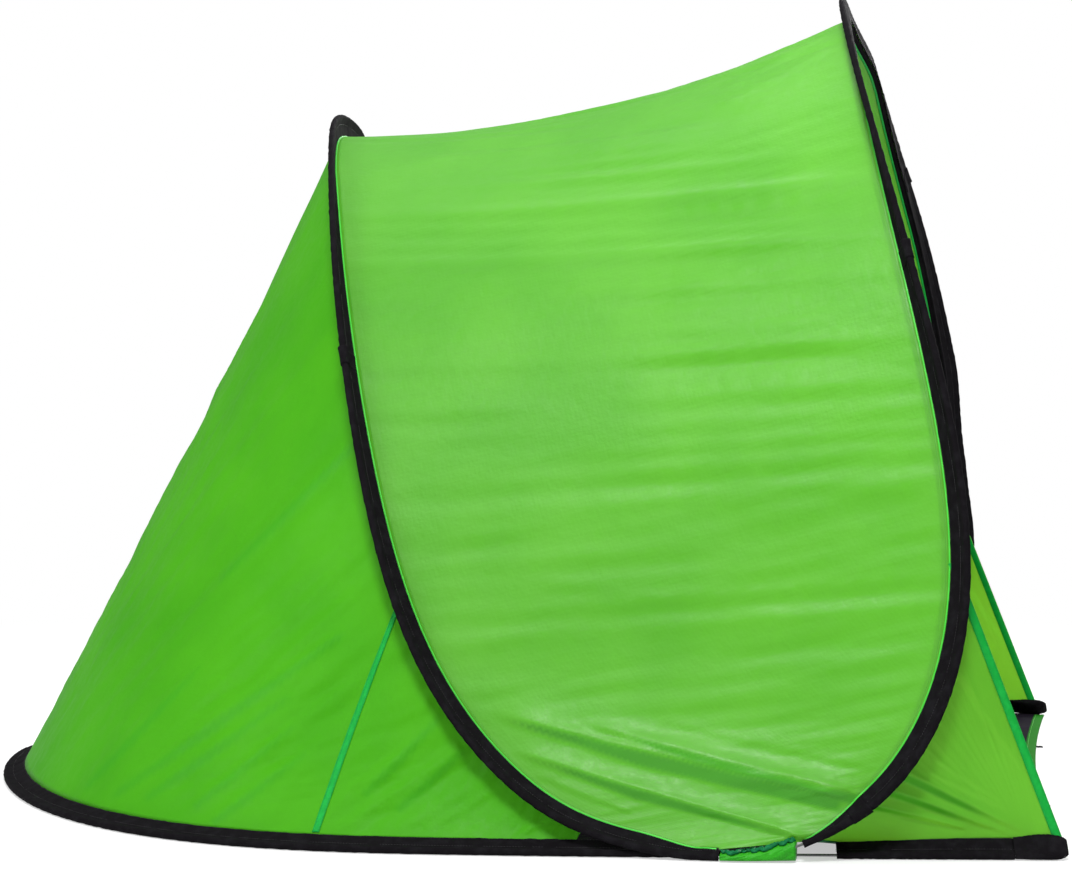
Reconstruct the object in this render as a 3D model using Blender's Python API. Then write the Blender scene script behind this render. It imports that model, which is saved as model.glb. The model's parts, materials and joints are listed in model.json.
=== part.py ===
"""Pop-up beach tent: a spring-steel loop bent into two hoops over a floor bow, in fabric sleeves.

One closed loop of spring steel stands as a rear hoop and a front hoop, and lies on the ground where it
crosses from one to the other at each side. A second wire, the floor bow, runs round the rear of the floor
and forward along both sides to the front corners. Each wire sits at the outer edge of a flat sleeve, and
the panels are sewn to the inner edge of the sleeves. At each crossing both wires pass through a sheath,
and the front half of the tent folds up and back about the line that joins the two crossings.

X runs from the rear to the open front, Y across the tent, Z up. The origin is on the ground under the
middle of the tent. All sizes are in metres and radians.
"""

import math
from dataclasses import dataclass

import bmesh
import bpy
import numpy as np
from mathutils import Matrix

# The floor, measured on the centre of the floor wire.
FLOOR_REAR_X = -0.763
FLOOR_CORNER_X = 0.768
FLOOR_WIDEST_X = -0.033
FLOOR_HALF_WIDTH = 0.813
CORNER_INSET = 0.078
FLOOR_CORNER_HALF_WIDTH = FLOOR_HALF_WIDTH - CORNER_INSET
REAR_ROUNDNESS = 2.4
REAR_FULLNESS = 1.5
SIDE_STRAIGHTNESS = 1.35
FRONT_EDGE_DEPTH = 0.024

# The two hoops, measured on the centre of the hoop wire.
HOOP_INSET = 0.008
HOOP_FOOT_HALF_WIDTH = FLOOR_HALF_WIDTH - HOOP_INSET
FRONT_HEIGHT = 1.112
FRONT_APEX_X = 0.461
FRONT_LEAN_X = 0.337
FRONT_TUCK_X = -0.311
FRONT_TIGHTNESS = 5.35
FRONT_KICK_X = -0.0935
FRONT_KICK_TIGHTNESS = 32.7
FRONT_CROWN_X = 0.006
FRONT_FAR_LEAD_X = 0.014
FRONT_FAR_TRAIL_X = 0.014
FRONT_FLARE_WIDTH = 0.103
FRONT_ARCH = (2.3, 2.1)
REAR_HEIGHT = 0.957
REAR_APEX_X = -0.243
REAR_LEAN_X = 0.250
REAR_TUCK_X = 0.2215
REAR_TIGHTNESS = 7.08
REAR_KICK_X = 0.109
REAR_KICK_TIGHTNESS = 49.4
REAR_CROWN_X = -0.027
REAR_FAR_LEAD_X = -0.030
REAR_FAR_TRAIL_X = 0.0
REAR_FLARE_WIDTH = 0.113
REAR_ARCH = (2.2, 1.8)
FLARE_POWER = 4.0

# Between the crown and mid-height the far leg of a hoop stands ahead of its near leg by its lead, and
# below mid-height behind it by its trail. Shares are of the hoop's height.
CROWN_TIGHTNESS = 14.0
CROWN_SHARE = 0.06
LEAD_END_SHARE = 0.45
LEAD_EASE_SHARE = 0.30
TRAIL_START_SHARE = 0.22
TRAIL_END_SHARE = 0.54
TRAIL_EASE_SHARE = 0.14

# Wires, ferrules and sleeves.
WIRE_RADIUS = 0.0016
SLEEVE_RADIUS = 0.0045
SLEEVE_THICKNESS = 0.0018
SLEEVE_WIDTH = 0.031
SLEEVE_FOOT_WIDTH = 0.015
BARE_FOOT_LENGTH = 0.0085
SLEEVE_TAPER_LENGTH = 0.11
FLOOR_SLEEVE_SLOPE = math.radians(24.0)
FRONT_TOP_TURN = 0.58
FRONT_FOOT_TURN = -1.14
REAR_TOP_TURN = -0.50
REAR_FOOT_TURN = 0.70
STEADY_TURN_SHARE = 0.075
FERRULE_LENGTH = 0.040
FERRULE_WALL = 0.0004
FERRULE_HEIGHT = 0.78
TAB_LENGTH = 0.020
TAB_THICKNESS = 0.0010
TAB_COVER = 0.80
REAR_TAB_HEIGHT = 0.60
FRONT_NEAR_TAB_HEIGHT = 0.735
FRONT_FAR_TAB_HEIGHT = 0.89

# The side crossings, where the hoop wire and the floor wire pass through a sheath.
FOLD_X = 0.4525
FOLD_Z = 0.042
SHEATH_LENGTH = 0.090
SHEATH_SIDE_MARGIN = 0.0095
SHEATH_TOP_CLEARANCE = 0.002

# The front corners.
BARE_WIRE_LENGTH = 0.047
POCKET_LENGTH = 0.060
POCKET_THICKNESS = 0.012
POCKET_EXTRA_WIDTH = 0.003
POCKET_TIP_SCALE = 0.55
POCKET_TIP_LENGTH = 0.005
WIRE_CAP_LENGTH = 0.012
WIRE_CAP_WALL = 0.0004

# Fabric panels, as solids thick enough to handle.
PANEL_THICKNESS = 0.0012
GROUNDSHEET_THICKNESS = 0.0012
TAPE_THICKNESS = 0.0008
REAR_TAPE_WIDTH = 0.009
REAR_TAPE_SHARE = 0.33
REAR_TAPE_TRIM = 0.0055
WING_TAPE_WIDTH = 0.011
WING_TAPE_THICKNESS = 0.0020
WING_TOP_HEIGHT = 0.365
REAR_PANEL_START = 0.17
RIDGE_SAG = 0.044
SIDE_SAG = 0.012
REAR_PANEL_SAG = 0.009
HEM_WIDTH = 0.016
HEM_THICKNESS = 0.0030
HEM_TAB_LENGTH = 0.012
HEM_TAB_WIDTH = 0.014
HEM_TAB_THICKNESS = 0.0016
HEM_TAB_Y = 0.306

# The main folds of the fabric.
CENTRE_FOLD_DEPTH = 0.006
CENTRE_FOLDS = 5
REAR_FOLD_DEPTH = 0.005
REAR_FOLDS = 4
WING_FOLD_DEPTH = 0.005
WING_FOLDS = 2

# What keeps touching pieces apart.
GAP = 0.0003
TAB_GAP = 0.0006
REAR_TAPE_GAP = 0.0006
WING_TAPE_GAP = 0.0009
SLEEVE_END_GAP = 0.0010
SEAM_SPREAD = 0.0012
BORE_SLACK = 0.0001

# How finely the curved pieces are divided.
HOOP_STATIONS = 61
ARM_STATIONS = 6
REAR_PANEL_COLUMNS = 6
CENTRE_PANEL_COLUMNS = 9
WING_COLUMNS = 6
HEM_STATIONS = 17
WIRE_SIDES = 6
BORE_SIDES = 8

# The pieces that swing with the front half.
FRONT_PIECES = (
    "groundsheet_front",
    "floor_sleeve_front",
    "floor_wire_front",
    "wire_cap",
    "corner_pocket",
    "hoop_wire_front",
    "hoop_sleeve_front",
    "sleeve_tab_front",
    "wing",
    "front_hem",
    "hem_tab",
)

# The near side is at -Y. Pieces are worked out there and mirrored to the far side.
SIDES = ("near", "far")
UP = np.array([0.0, 0.0, 1.0])
MIRROR = np.array([1.0, -1.0, 1.0])

# Sizes that follow from the ones above.
WIRE_HEIGHT = SLEEVE_RADIUS
ROUND_OFF = 1.0 / math.cos(math.pi / BORE_SIDES)
FERRULE_BORE_RADIUS = (WIRE_RADIUS + GAP) * ROUND_OFF
FERRULE_RADIUS = FERRULE_BORE_RADIUS + FERRULE_WALL * ROUND_OFF
BORE_RADIUS = FERRULE_RADIUS + BORE_SLACK * ROUND_OFF
CAP_RADIUS = WIRE_RADIUS + WIRE_CAP_WALL
CAP_BORE_RADIUS = (CAP_RADIUS + BORE_SLACK) * ROUND_OFF
SHEATH_REAR_X = FOLD_X - GAP - SHEATH_LENGTH
SLEEVE_INNER_FOOT = 0.76 * SLEEVE_RADIUS
GROUNDSHEET_INSET = SLEEVE_INNER_FOOT + 0.0008

# Colour, roughness and metallic value of each material.
MATERIALS = {
    "lime_canopy": ((0.20, 0.55, 0.08, 1.0), 0.55, 0.0),
    "emerald_tape": ((0.01, 0.40, 0.06, 1.0), 0.60, 0.0),
    "black_sleeve": ((0.018, 0.018, 0.020, 1.0), 0.60, 0.0),
    "dark_groundsheet": ((0.030, 0.028, 0.034, 1.0), 0.50, 0.0),
    "spring_steel": ((0.25, 0.25, 0.26, 1.0), 0.35, 1.0),
    "crimp_steel": ((0.55, 0.55, 0.56, 1.0), 0.30, 1.0),
    "black_plastic": ((0.02, 0.02, 0.02, 1.0), 0.45, 0.0),
}


def unit(vector):
    """Return the vector at length one."""
    return vector / np.linalg.norm(vector)


def smooth_step(value):
    """Return 0 up to 0, 1 from 1, and an even S curve between."""
    value = min(max(value, 0.0), 1.0)
    return value * value * (3.0 - 2.0 * value)


def reach_along(points):
    """Return each point's distance along the polyline."""
    steps = np.linalg.norm(np.diff(points, axis=0), axis=1)
    return np.concatenate([[0.0], np.cumsum(steps)])


def at_reach(points, wanted):
    """Return the points that lie at the wanted distances along a polyline."""
    reach = reach_along(points)
    return np.stack([np.interp(wanted, reach, points[:, axis]) for axis in range(3)], axis=1)


def resample(points, count):
    """Return count points evenly spaced along a polyline."""
    return at_reach(points, np.linspace(0.0, reach_along(points)[-1], count))


def cut_at_x(points, x):
    """Return a polyline from its first crossing of x onwards, with the crossing as its first point."""
    side = points[:, 0] > x
    index = int(np.argmax(side != side[0]))
    before, after = points[index - 1], points[index]
    share = (x - before[0]) / (after[0] - before[0])
    return np.vstack([before + (after - before) * share, points[index:]])


def over_top(half):
    """Return a near half and its mirror image as one path across the tent."""
    return np.vstack([half, (half * MIRROR)[-2::-1]])


@dataclass(frozen=True)
class Hoop:
    """One hoop of the wire loop: an arch that leans, with a foot that tucks under or trails out.

    The sleeve lies in the hoop's own leaning plane, turned out of it by one angle at the top and
    another at the foot, where a turn above zero is towards the front of the tent.
    """

    height: float
    apex_x: float
    lean: float
    tuck: float
    tightness: float
    kick: float
    kick_tightness: float
    crown: float
    far_lead: float
    far_trail: float
    flare: float
    arch: tuple
    top_turn: float
    foot_turn: float

    def point(self, turn):
        """Return the wire's centre on the near side; turn is 0 at the apex, a quarter at the ground."""
        rise = math.cos(turn)
        fall = 1.0 - rise
        bend, fullness = self.arch
        x = self.apex_x + self.lean * fall
        x += self.tuck * fall**self.tightness + self.kick * fall**self.kick_tightness
        x += self.crown * rise**CROWN_TIGHTNESS
        spread = max(0.0, 1.0 - rise**bend) ** (1.0 / fullness)
        y = (HOOP_FOOT_HALF_WIDTH - self.flare) * spread + self.flare * fall**FLARE_POWER
        return np.array([x, -y, math.hypot(rise * (self.height - WIRE_HEIGHT), WIRE_HEIGHT)])

    def half(self):
        """Return the near half of the wire, from the ground up to the apex."""
        return np.array([self.point(turn) for turn in np.linspace(0.5 * math.pi, 0.0, 300)])

    def far_offset(self, height):
        """Return how far ahead of the near leg the far leg stands at a height."""
        share = height / self.height
        lead = smooth_step((1.0 - share) / CROWN_SHARE)
        lead *= smooth_step((share - LEAD_END_SHARE) / LEAD_EASE_SHARE)
        trail = smooth_step((share - TRAIL_START_SHARE) / TRAIL_EASE_SHARE)
        trail *= smooth_step((TRAIL_END_SHARE - share) / TRAIL_EASE_SHARE)
        return self.far_lead * lead - self.far_trail * trail


REAR_HOOP = Hoop(
    REAR_HEIGHT,
    REAR_APEX_X,
    REAR_LEAN_X,
    REAR_TUCK_X,
    REAR_TIGHTNESS,
    REAR_KICK_X,
    REAR_KICK_TIGHTNESS,
    REAR_CROWN_X,
    REAR_FAR_LEAD_X,
    REAR_FAR_TRAIL_X,
    REAR_FLARE_WIDTH,
    REAR_ARCH,
    REAR_TOP_TURN,
    REAR_FOOT_TURN,
)
FRONT_HOOP = Hoop(
    FRONT_HEIGHT,
    FRONT_APEX_X,
    FRONT_LEAN_X,
    FRONT_TUCK_X,
    FRONT_TIGHTNESS,
    FRONT_KICK_X,
    FRONT_KICK_TIGHTNESS,
    FRONT_CROWN_X,
    FRONT_FAR_LEAD_X,
    FRONT_FAR_TRAIL_X,
    FRONT_FLARE_WIDTH,
    FRONT_ARCH,
    FRONT_TOP_TURN,
    FRONT_FOOT_TURN,
)


def floor_half():
    """Return the near half of the floor wire, from the front corner back to the rear tip."""
    side_run = FLOOR_CORNER_X - FLOOR_WIDEST_X
    rear_run = FLOOR_WIDEST_X - FLOOR_REAR_X
    points = []
    for share in np.linspace(1.0, 0.0, 120):
        y = FLOOR_HALF_WIDTH - CORNER_INSET * share**SIDE_STRAIGHTNESS
        points.append((FLOOR_WIDEST_X + side_run * share, -y, WIRE_HEIGHT))
    for turn in np.linspace(0.0, 0.5 * math.pi, 160)[1:]:
        x = FLOOR_WIDEST_X - rear_run * math.sin(turn) ** (2.0 / REAR_ROUNDNESS)
        y = FLOOR_HALF_WIDTH * max(0.0, math.cos(turn)) ** (2.0 / REAR_FULLNESS)
        points.append((x, -y, WIRE_HEIGHT))
    return np.array(points)


def rear_loop_half():
    """Return the near half of the loop behind the fold line, from the fold up to the rear apex."""
    foot = FRONT_HOOP.half()
    before_fold = foot[: int(np.argmax(foot[:, 0] > FOLD_X)) + 1][::-1]
    foot = cut_at_x(before_fold, FOLD_X)
    return np.vstack([foot, REAR_HOOP.half()])


def front_loop_half():
    """Return the near half of the loop ahead of the fold line, from the fold up to the front apex."""
    return cut_at_x(FRONT_HOOP.half(), FOLD_X)


def tangents(points):
    """Return the unit direction of travel at each point of a polyline."""
    steps = np.vstack([points[1:2] - points[:1], points[2:] - points[:-2], points[-1:] - points[-2:-1]])
    return np.array([unit(step) for step in steps])


@dataclass
class Strip:
    """A wire's path with the direction in which its flat sleeve points at every station."""

    wire: np.ndarray
    tangent: np.ndarray
    direction: np.ndarray
    normal: np.ndarray
    width: np.ndarray

    @classmethod
    def aimed(cls, wire, direction, width):
        """Return the strip of a path, with each direction turned square to it."""
        tangent = tangents(wire)
        along = np.sum(direction * tangent, axis=1, keepdims=True)
        square = np.array([unit(d) for d in direction - along * tangent])
        return cls(wire, tangent, square, np.cross(square, tangent), width)

    def __len__(self):
        """Return the number of stations."""
        return len(self.wire)

    def seam(self, shift=0.0, extra=0.0):
        """Return the line on the sleeve's inner edge that a panel starts from, shifted to one face."""
        away = self.width + GAP + 0.5 * PANEL_THICKNESS + extra
        return self.wire + self.direction * away[:, None] + self.normal * shift

    def part(self, first, last):
        """Return the stretch between two stations, the last one included."""
        keep = slice(first, last + 1)
        return Strip(
            self.wire[keep], self.tangent[keep], self.direction[keep], self.normal[keep], self.width[keep]
        )

    def stretch(self, middle, length):
        """Return a short stretch of the strip about a distance along it."""
        reach = reach_along(self.wire)
        start, end = middle - 0.5 * length, middle + 0.5 * length
        inside = [r for r in reach if start < r < end]
        wanted = np.array([start] + inside + [end])
        rows = [
            np.stack([np.interp(wanted, reach, values[:, axis]) for axis in range(3)], axis=1)
            for values in (self.wire, self.tangent, self.direction, self.normal)
        ]
        return Strip(*rows, np.interp(wanted, reach, self.width))

    def other_side(self):
        """Return the strip read from its other end and mirrored across the tent."""
        wire, tangent, direction, normal = [
            values[::-1] * MIRROR for values in (self.wire, self.tangent, self.direction, self.normal)
        ]
        return Strip(wire, -tangent, direction, normal, self.width[::-1])

    def section(self, index, outline):
        """Return an outline, given along and across the sleeve, as points at one station."""
        return [
            self.wire[index] + self.direction[index] * a + self.normal[index] * b for a, b in outline
        ]


def tapered_widths(points, width, foot_width, taper):
    """Return the sleeve's width at each point, narrowing to its foot at both ends."""
    reach = reach_along(points)
    widths = []
    for distance in reach:
        share = smooth_step(min(distance, reach[-1] - distance) / taper)
        widths.append(foot_width + (width - foot_width) * share)
    return np.array(widths)


def hoop_strip(hoop, half):
    """Return the strip of a hoop's sleeve, whose flat side points into the tent."""
    wire = resample(over_top(half), HOOP_STATIONS)
    for point in wire:
        if point[1] > 0.0:
            point[0] += hoop.far_offset(point[2])
    ahead = np.array([hoop.height, 0.0, hoop.lean])
    directions = []
    for point, tangent in zip(wire, tangents(wire)):
        across = unit(ahead - tangent * np.dot(ahead, tangent))
        inward = np.cross(tangent, across)
        fall = max(1.0 - point[2] / hoop.height, STEADY_TURN_SHARE)
        turn = hoop.top_turn + (hoop.foot_turn - hoop.top_turn) * math.sqrt(fall)
        directions.append(inward * math.cos(turn) + across * math.sin(turn))
    widths = tapered_widths(wire, SLEEVE_WIDTH, SLEEVE_FOOT_WIDTH, SLEEVE_TAPER_LENGTH)
    return Strip.aimed(wire, np.array(directions), widths)


def floor_direction(wire, inside):
    """Return the direction of a floor sleeve: into the tent and up at the sleeve's slope."""
    directions = []
    for point, tangent in zip(wire, tangents(wire)):
        inward = np.cross(UP, tangent)
        if np.dot(inward, inside - point) < 0.0:
            inward = -inward
        directions.append(inward * math.cos(FLOOR_SLEEVE_SLOPE) + UP * math.sin(FLOOR_SLEEVE_SLOPE))
    return np.array(directions)


def floor_strip():
    """Return the strip of the rear floor sleeve, from sheath to sheath round the rear."""
    half = cut_at_x(floor_half(), SHEATH_REAR_X - GAP)
    wire = resample(over_top(half), HOOP_STATIONS)
    widths = tapered_widths(wire, SLEEVE_WIDTH, SLEEVE_FOOT_WIDTH, SLEEVE_TAPER_LENGTH)
    return Strip.aimed(wire, floor_direction(wire, np.zeros(3)), widths)


def arm_strip():
    """Return the strip of the near front arm, from the fold line to the front corner."""
    corner_to_fold = floor_half()
    ahead = corner_to_fold[corner_to_fold[:, 0] > FOLD_X][::-1]
    start = cut_at_x(corner_to_fold, FOLD_X)[0]
    arm = np.vstack([start, ahead])
    length = reach_along(arm)[-1]
    sleeve_end = length - POCKET_LENGTH
    wanted = [0.0]
    wanted += list(np.linspace(BARE_WIRE_LENGTH, sleeve_end, ARM_STATIONS))
    wanted += [length - 0.5 * POCKET_LENGTH, length]
    wire = at_reach(arm, wanted)
    return Strip.aimed(wire, floor_direction(wire, np.zeros(3)), np.full(len(wire), SLEEVE_WIDTH))


def sleeve_outline(width, radius=SLEEVE_RADIUS, thickness=SLEEVE_THICKNESS):
    """Return the outer outline of a sleeve: round the wire at one edge, flat to the seam at the other."""
    half = 0.5 * thickness
    return [
        (width, half),
        (2.0 * radius, half),
        (0.3 * radius, radius),
        (-0.75 * radius, 0.66 * radius),
        (-0.75 * radius, -0.66 * radius),
        (0.3 * radius, -radius),
        (2.0 * radius, -half),
        (width, -half),
    ]


def circle_outline(radius, sides):
    """Return a regular outline about the wire's centre, with a flat side across the sleeve."""
    step = 2.0 * math.pi / sides
    return [
        (radius * math.cos(step * (k + 0.5)), radius * math.sin(step * (k + 0.5))) for k in range(sides)
    ]


def tab_outline(width, lift):
    """Return one side of the wrap over a sleeve, lifted off the sleeve's surface."""
    radius = SLEEVE_RADIUS
    half = 0.5 * SLEEVE_THICKNESS + lift
    return [
        (width * TAB_COVER, half),
        (2.0 * radius, half),
        (0.3 * radius, radius + lift),
        (-0.75 * radius - lift, 0.66 * radius + 0.5 * lift),
        (-0.75 * radius - lift, -0.66 * radius - 0.5 * lift),
        (0.3 * radius, -radius - lift),
        (2.0 * radius, -half),
        (width * TAB_COVER, -half),
    ]


def make_object(name, bm, material):
    """Close a mesh's normals and place it in the scene as a named object."""
    bmesh.ops.recalc_face_normals(bm, faces=bm.faces)
    mesh = bpy.data.meshes.new(name)
    bm.to_mesh(mesh)
    bm.free()
    mesh.shade_smooth()
    mesh.set_sharp_from_angle(angle=math.radians(35.0))
    mesh.materials.append(material)
    obj = bpy.data.objects.new(name, mesh)
    bpy.context.scene.collection.objects.link(obj)
    return obj


def add_ring(bm, points):
    """Add a ring of vertices."""
    return [bm.verts.new(point) for point in points]


def bridge(bm, ring, other):
    """Join two rings of as many vertices with quads."""
    count = len(ring)
    for k in range(count):
        bm.faces.new((ring[k], ring[(k + 1) % count], other[(k + 1) % count], other[k]))


def loft(sections):
    """Return a solid through a row of closed outlines, with flat ends."""
    bm = bmesh.new()
    rings = [add_ring(bm, section) for section in sections]
    for ring, other in zip(rings, rings[1:]):
        bridge(bm, ring, other)
    bm.faces.new(rings[0])
    bm.faces.new(rings[-1])
    return bm


def tube(outer, inner, closed_end=False):
    """Return a hollow solid: outer and inner outlines of as many points, open at one or both ends."""
    bm = bmesh.new()
    outside = [add_ring(bm, section) for section in outer]
    inside = [add_ring(bm, section) for section in inner]
    for rings in (outside, inside):
        for ring, other in zip(rings, rings[1:]):
            bridge(bm, ring, other)
    bridge(bm, outside[0], inside[0])
    if closed_end:
        bm.faces.new(outside[-1])
        bm.faces.new(inside[-1])
    else:
        bridge(bm, outside[-1], inside[-1])
    return bm


def grid_normals(grid):
    """Return a unit normal at every point of a grid."""
    along = np.gradient(grid, axis=0)
    across = np.gradient(grid, axis=1)
    normals = np.cross(along, across)
    return normals / np.linalg.norm(normals, axis=2, keepdims=True)


def sheet(grid, thickness):
    """Return a solid sheet about a grid of points."""
    bm = bmesh.new()
    shift = grid_normals(grid) * 0.5 * thickness
    rows, columns = grid.shape[:2]
    top = [add_ring(bm, row) for row in grid + shift]
    bottom = [add_ring(bm, row) for row in grid - shift]
    for i in range(rows - 1):
        for j in range(columns - 1):
            bm.faces.new((top[i][j], top[i + 1][j], top[i + 1][j + 1], top[i][j + 1]))
            bm.faces.new((bottom[i][j], bottom[i][j + 1], bottom[i + 1][j + 1], bottom[i + 1][j]))
    edge = [(i, 0) for i in range(rows)]
    edge += [(rows - 1, j) for j in range(1, columns)]
    edge += [(i, columns - 1) for i in range(rows - 2, -1, -1)]
    edge += [(0, j) for j in range(columns - 2, 0, -1)]
    bridge(bm, [top[i][j] for i, j in edge], [bottom[i][j] for i, j in edge])
    return bm


def plate(outline, low, high):
    """Return a flat plate from an outline in plan, between two heights."""
    return loft([[(x, y, low) for x, y in outline], [(x, y, high) for x, y in outline]])


def make_materials():
    """Return the tent's materials by name."""
    made = {}
    for name, (colour, roughness, metallic) in MATERIALS.items():
        material = bpy.data.materials.new(name)
        material.use_nodes = True
        shader = material.node_tree.nodes["Principled BSDF"]
        shader.inputs["Base Color"].default_value = colour
        shader.inputs["Roughness"].default_value = roughness
        shader.inputs["Metallic"].default_value = metallic
        made[name] = material
    return made


def on_side(points, side):
    """Return near-side points on the side that is asked for."""
    return points * MIRROR if side == "far" else points


def mirror_sections(sections, side):
    """Return near-side sections on the side that is asked for."""
    return [[on_side(np.asarray(point), side) for point in section] for section in sections]


def make_sleeve(name, strip, material, side="near"):
    """Make a sleeve with the bore that its wire runs in."""
    count = len(strip)
    outer = [strip.section(i, sleeve_outline(strip.width[i])) for i in range(count)]
    bore = circle_outline(BORE_RADIUS, BORE_SIDES)
    inner = [strip.section(i, bore) for i in range(count)]
    make_object(name, tube(mirror_sections(outer, side), mirror_sections(inner, side)), material)


def make_wire(name, strip, material, side="near"):
    """Make a round wire along a strip."""
    outline = circle_outline(WIRE_RADIUS, WIRE_SIDES)
    sections = [strip.section(i, outline) for i in range(len(strip))]
    make_object(name, loft(mirror_sections(sections, side)), material)


def with_feet(strip, foot):
    """Return a strip lengthened at both ends by the foot of its wire, out to the fold line."""
    wire = np.vstack([foot, strip.wire, (foot * MIRROR)[::-1]])
    rows = len(foot)
    direction = np.vstack([
        np.repeat(strip.direction[:1], rows, axis=0),
        strip.direction,
        np.repeat(strip.direction[-1:], rows, axis=0),
    ])
    return Strip.aimed(wire, direction, np.full(len(wire), SLEEVE_FOOT_WIDTH))


def foot_of(half, x, count):
    """Return the start of a half loop, from half a gap off the fold line up to a place along X."""
    beyond = np.abs(half[:, 0] - FOLD_X) > abs(x - FOLD_X)
    foot = np.vstack([half[: int(np.argmax(beyond))], cut_at_x(half, x)[:1]])
    return at_reach(foot, np.linspace(0.5 * GAP, reach_along(foot)[-1], count + 1))[:-1]


def station_at_height(strip, height, side):
    """Return the distance along a hoop's strip at which its wire reaches a height on one side."""
    reach = reach_along(strip.wire)
    middle = len(strip) // 2
    order = slice(0, middle + 1) if side == "near" else slice(middle, None)
    heights, distances = strip.wire[order, 2], reach[order]
    if side == "far":
        heights, distances = heights[::-1], distances[::-1]
    return float(np.interp(height, heights, distances))


def make_tab(name, strip, height, side, material):
    """Make the short overlap that joins two lengths of sleeve, wrapped round the wire's edge."""
    piece = strip.stretch(station_at_height(strip, height, side), TAB_LENGTH)
    sections = []
    for i in range(len(piece)):
        outside = tab_outline(piece.width[i], TAB_GAP + TAB_THICKNESS)
        inside = tab_outline(piece.width[i], TAB_GAP)
        sections.append(piece.section(i, outside + inside[::-1]))
    make_object(name, loft(sections), material)


def make_ferrule(name, strip, height, side, material):
    """Make the crimped tube that joins the two ends of the loop inside its sleeve."""
    piece = strip.stretch(station_at_height(strip, height, side), FERRULE_LENGTH)
    count = len(piece)
    outer = [piece.section(i, circle_outline(FERRULE_RADIUS, BORE_SIDES)) for i in range(count)]
    inner = [piece.section(i, circle_outline(FERRULE_BORE_RADIUS, BORE_SIDES)) for i in range(count)]
    make_object(name, tube(outer, inner), material)


def ruled(start, end, columns):
    """Return the grid of straight lines from one edge to the other."""
    shares = np.linspace(0.0, 1.0, columns + 1)[None, :, None]
    return start[:, None, :] * (1.0 - shares) + end[:, None, :] * shares


def belly(columns):
    """Return how far each column may leave the straight line between two sewn edges."""
    shares = np.linspace(0.0, 1.0, columns + 1)
    return 4.0 * shares * (1.0 - shares)


def make_rear_panel(rear, floor, material):
    """Make the panel from the rear hoop back and down to the rear floor sleeve."""
    reach = reach_along(rear.wire)
    first = int(np.argmax(reach >= REAR_PANEL_START))
    last = len(rear) - 1 - first
    low = floor.part(first, last).seam(0.0)
    high = rear.part(first, last).seam(-SEAM_SPREAD)
    grid = ruled(low, high, REAR_PANEL_COLUMNS)
    share = (reach[first : last + 1] - reach[first]) / (reach[last] - reach[first])
    from_side = 1.0 - np.abs(2.0 * share - 1.0)
    depth = -REAR_PANEL_SAG + REAR_FOLD_DEPTH * np.sin(math.pi * REAR_FOLDS * 2.0 * from_side)
    outward = grid_normals(grid)
    middle = outward[len(grid) // 2, REAR_PANEL_COLUMNS // 2]
    outward = outward if middle[0] < 0.0 else -outward
    grid = grid + outward * (depth[:, None] * belly(REAR_PANEL_COLUMNS)[None, :])[:, :, None]
    make_object("rear_panel", sheet(grid, PANEL_THICKNESS), material)
    return grid, outward


def make_rear_tapes(grid, outward, material):
    """Make the seam tape that runs down each side of the rear panel."""
    rows = len(grid)
    index = round(REAR_TAPE_SHARE * (rows - 1) / 2)
    for side, row in (("near", index), ("far", rows - 1 - index)):
        line = grid[row].copy()
        line[0] += unit(line[1] - line[0]) * REAR_TAPE_TRIM
        line[-1] -= unit(line[-1] - line[-2]) * REAR_TAPE_TRIM
        along = np.gradient(line, axis=0)
        normal = outward[row]
        sections = []
        for k in range(len(line)):
            across = unit(np.cross(along[k], normal[k])) * 0.5 * REAR_TAPE_WIDTH
            lift = unit(normal[k])
            low = line[k] + lift * (0.5 * PANEL_THICKNESS + REAR_TAPE_GAP)
            high = low + lift * TAPE_THICKNESS
            sections.append([low - across, low + across, high + across, high - across])
        make_object(f"rear_seam_tape_{side}", loft(sections), material)


def make_centre_panel(rear, front, material):
    """Make the panel that spans the two hoops, with the sag of its ridge and its main folds."""
    grid = ruled(rear.seam(SEAM_SPREAD), front.seam(-SEAM_SPREAD), CENTRE_PANEL_COLUMNS)
    height = grid[:, :, 2] / grid[:, :, 2].max(axis=0)
    share = np.linspace(0.0, 1.0, len(grid))
    from_side = 1.0 - np.abs(2.0 * share - 1.0)
    sag = SIDE_SAG + (RIDGE_SAG - SIDE_SAG) * height**8
    folds = CENTRE_FOLD_DEPTH * np.sin(math.pi * CENTRE_FOLDS * 2.0 * from_side) * (1.0 - from_side)
    inward = grid_normals(grid)
    middle = inward[len(grid) // 2, CENTRE_PANEL_COLUMNS // 2]
    inward = inward if middle[2] < 0.0 else -inward
    ease = np.array([smooth_step(4.0 * value) for value in from_side])
    depth = (sag * ease[:, None] + folds[:, None] * ease[:, None]) * belly(CENTRE_PANEL_COLUMNS)[None, :]
    make_object("centre_panel", sheet(grid + inward * depth[:, :, None], PANEL_THICKNESS), material)


def line_between(front, arm, hoop_reach, arm_reach):
    """Return the straight line from a place on the front hoop's seam to a place on the arm's seam."""
    top = at_reach(front.seam(SEAM_SPREAD), [hoop_reach])[0]
    foot = at_reach(arm.part(1, len(arm) - 1).seam(0.0, POCKET_EXTRA_WIDTH), [arm_reach])[0]
    return top, foot


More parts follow.
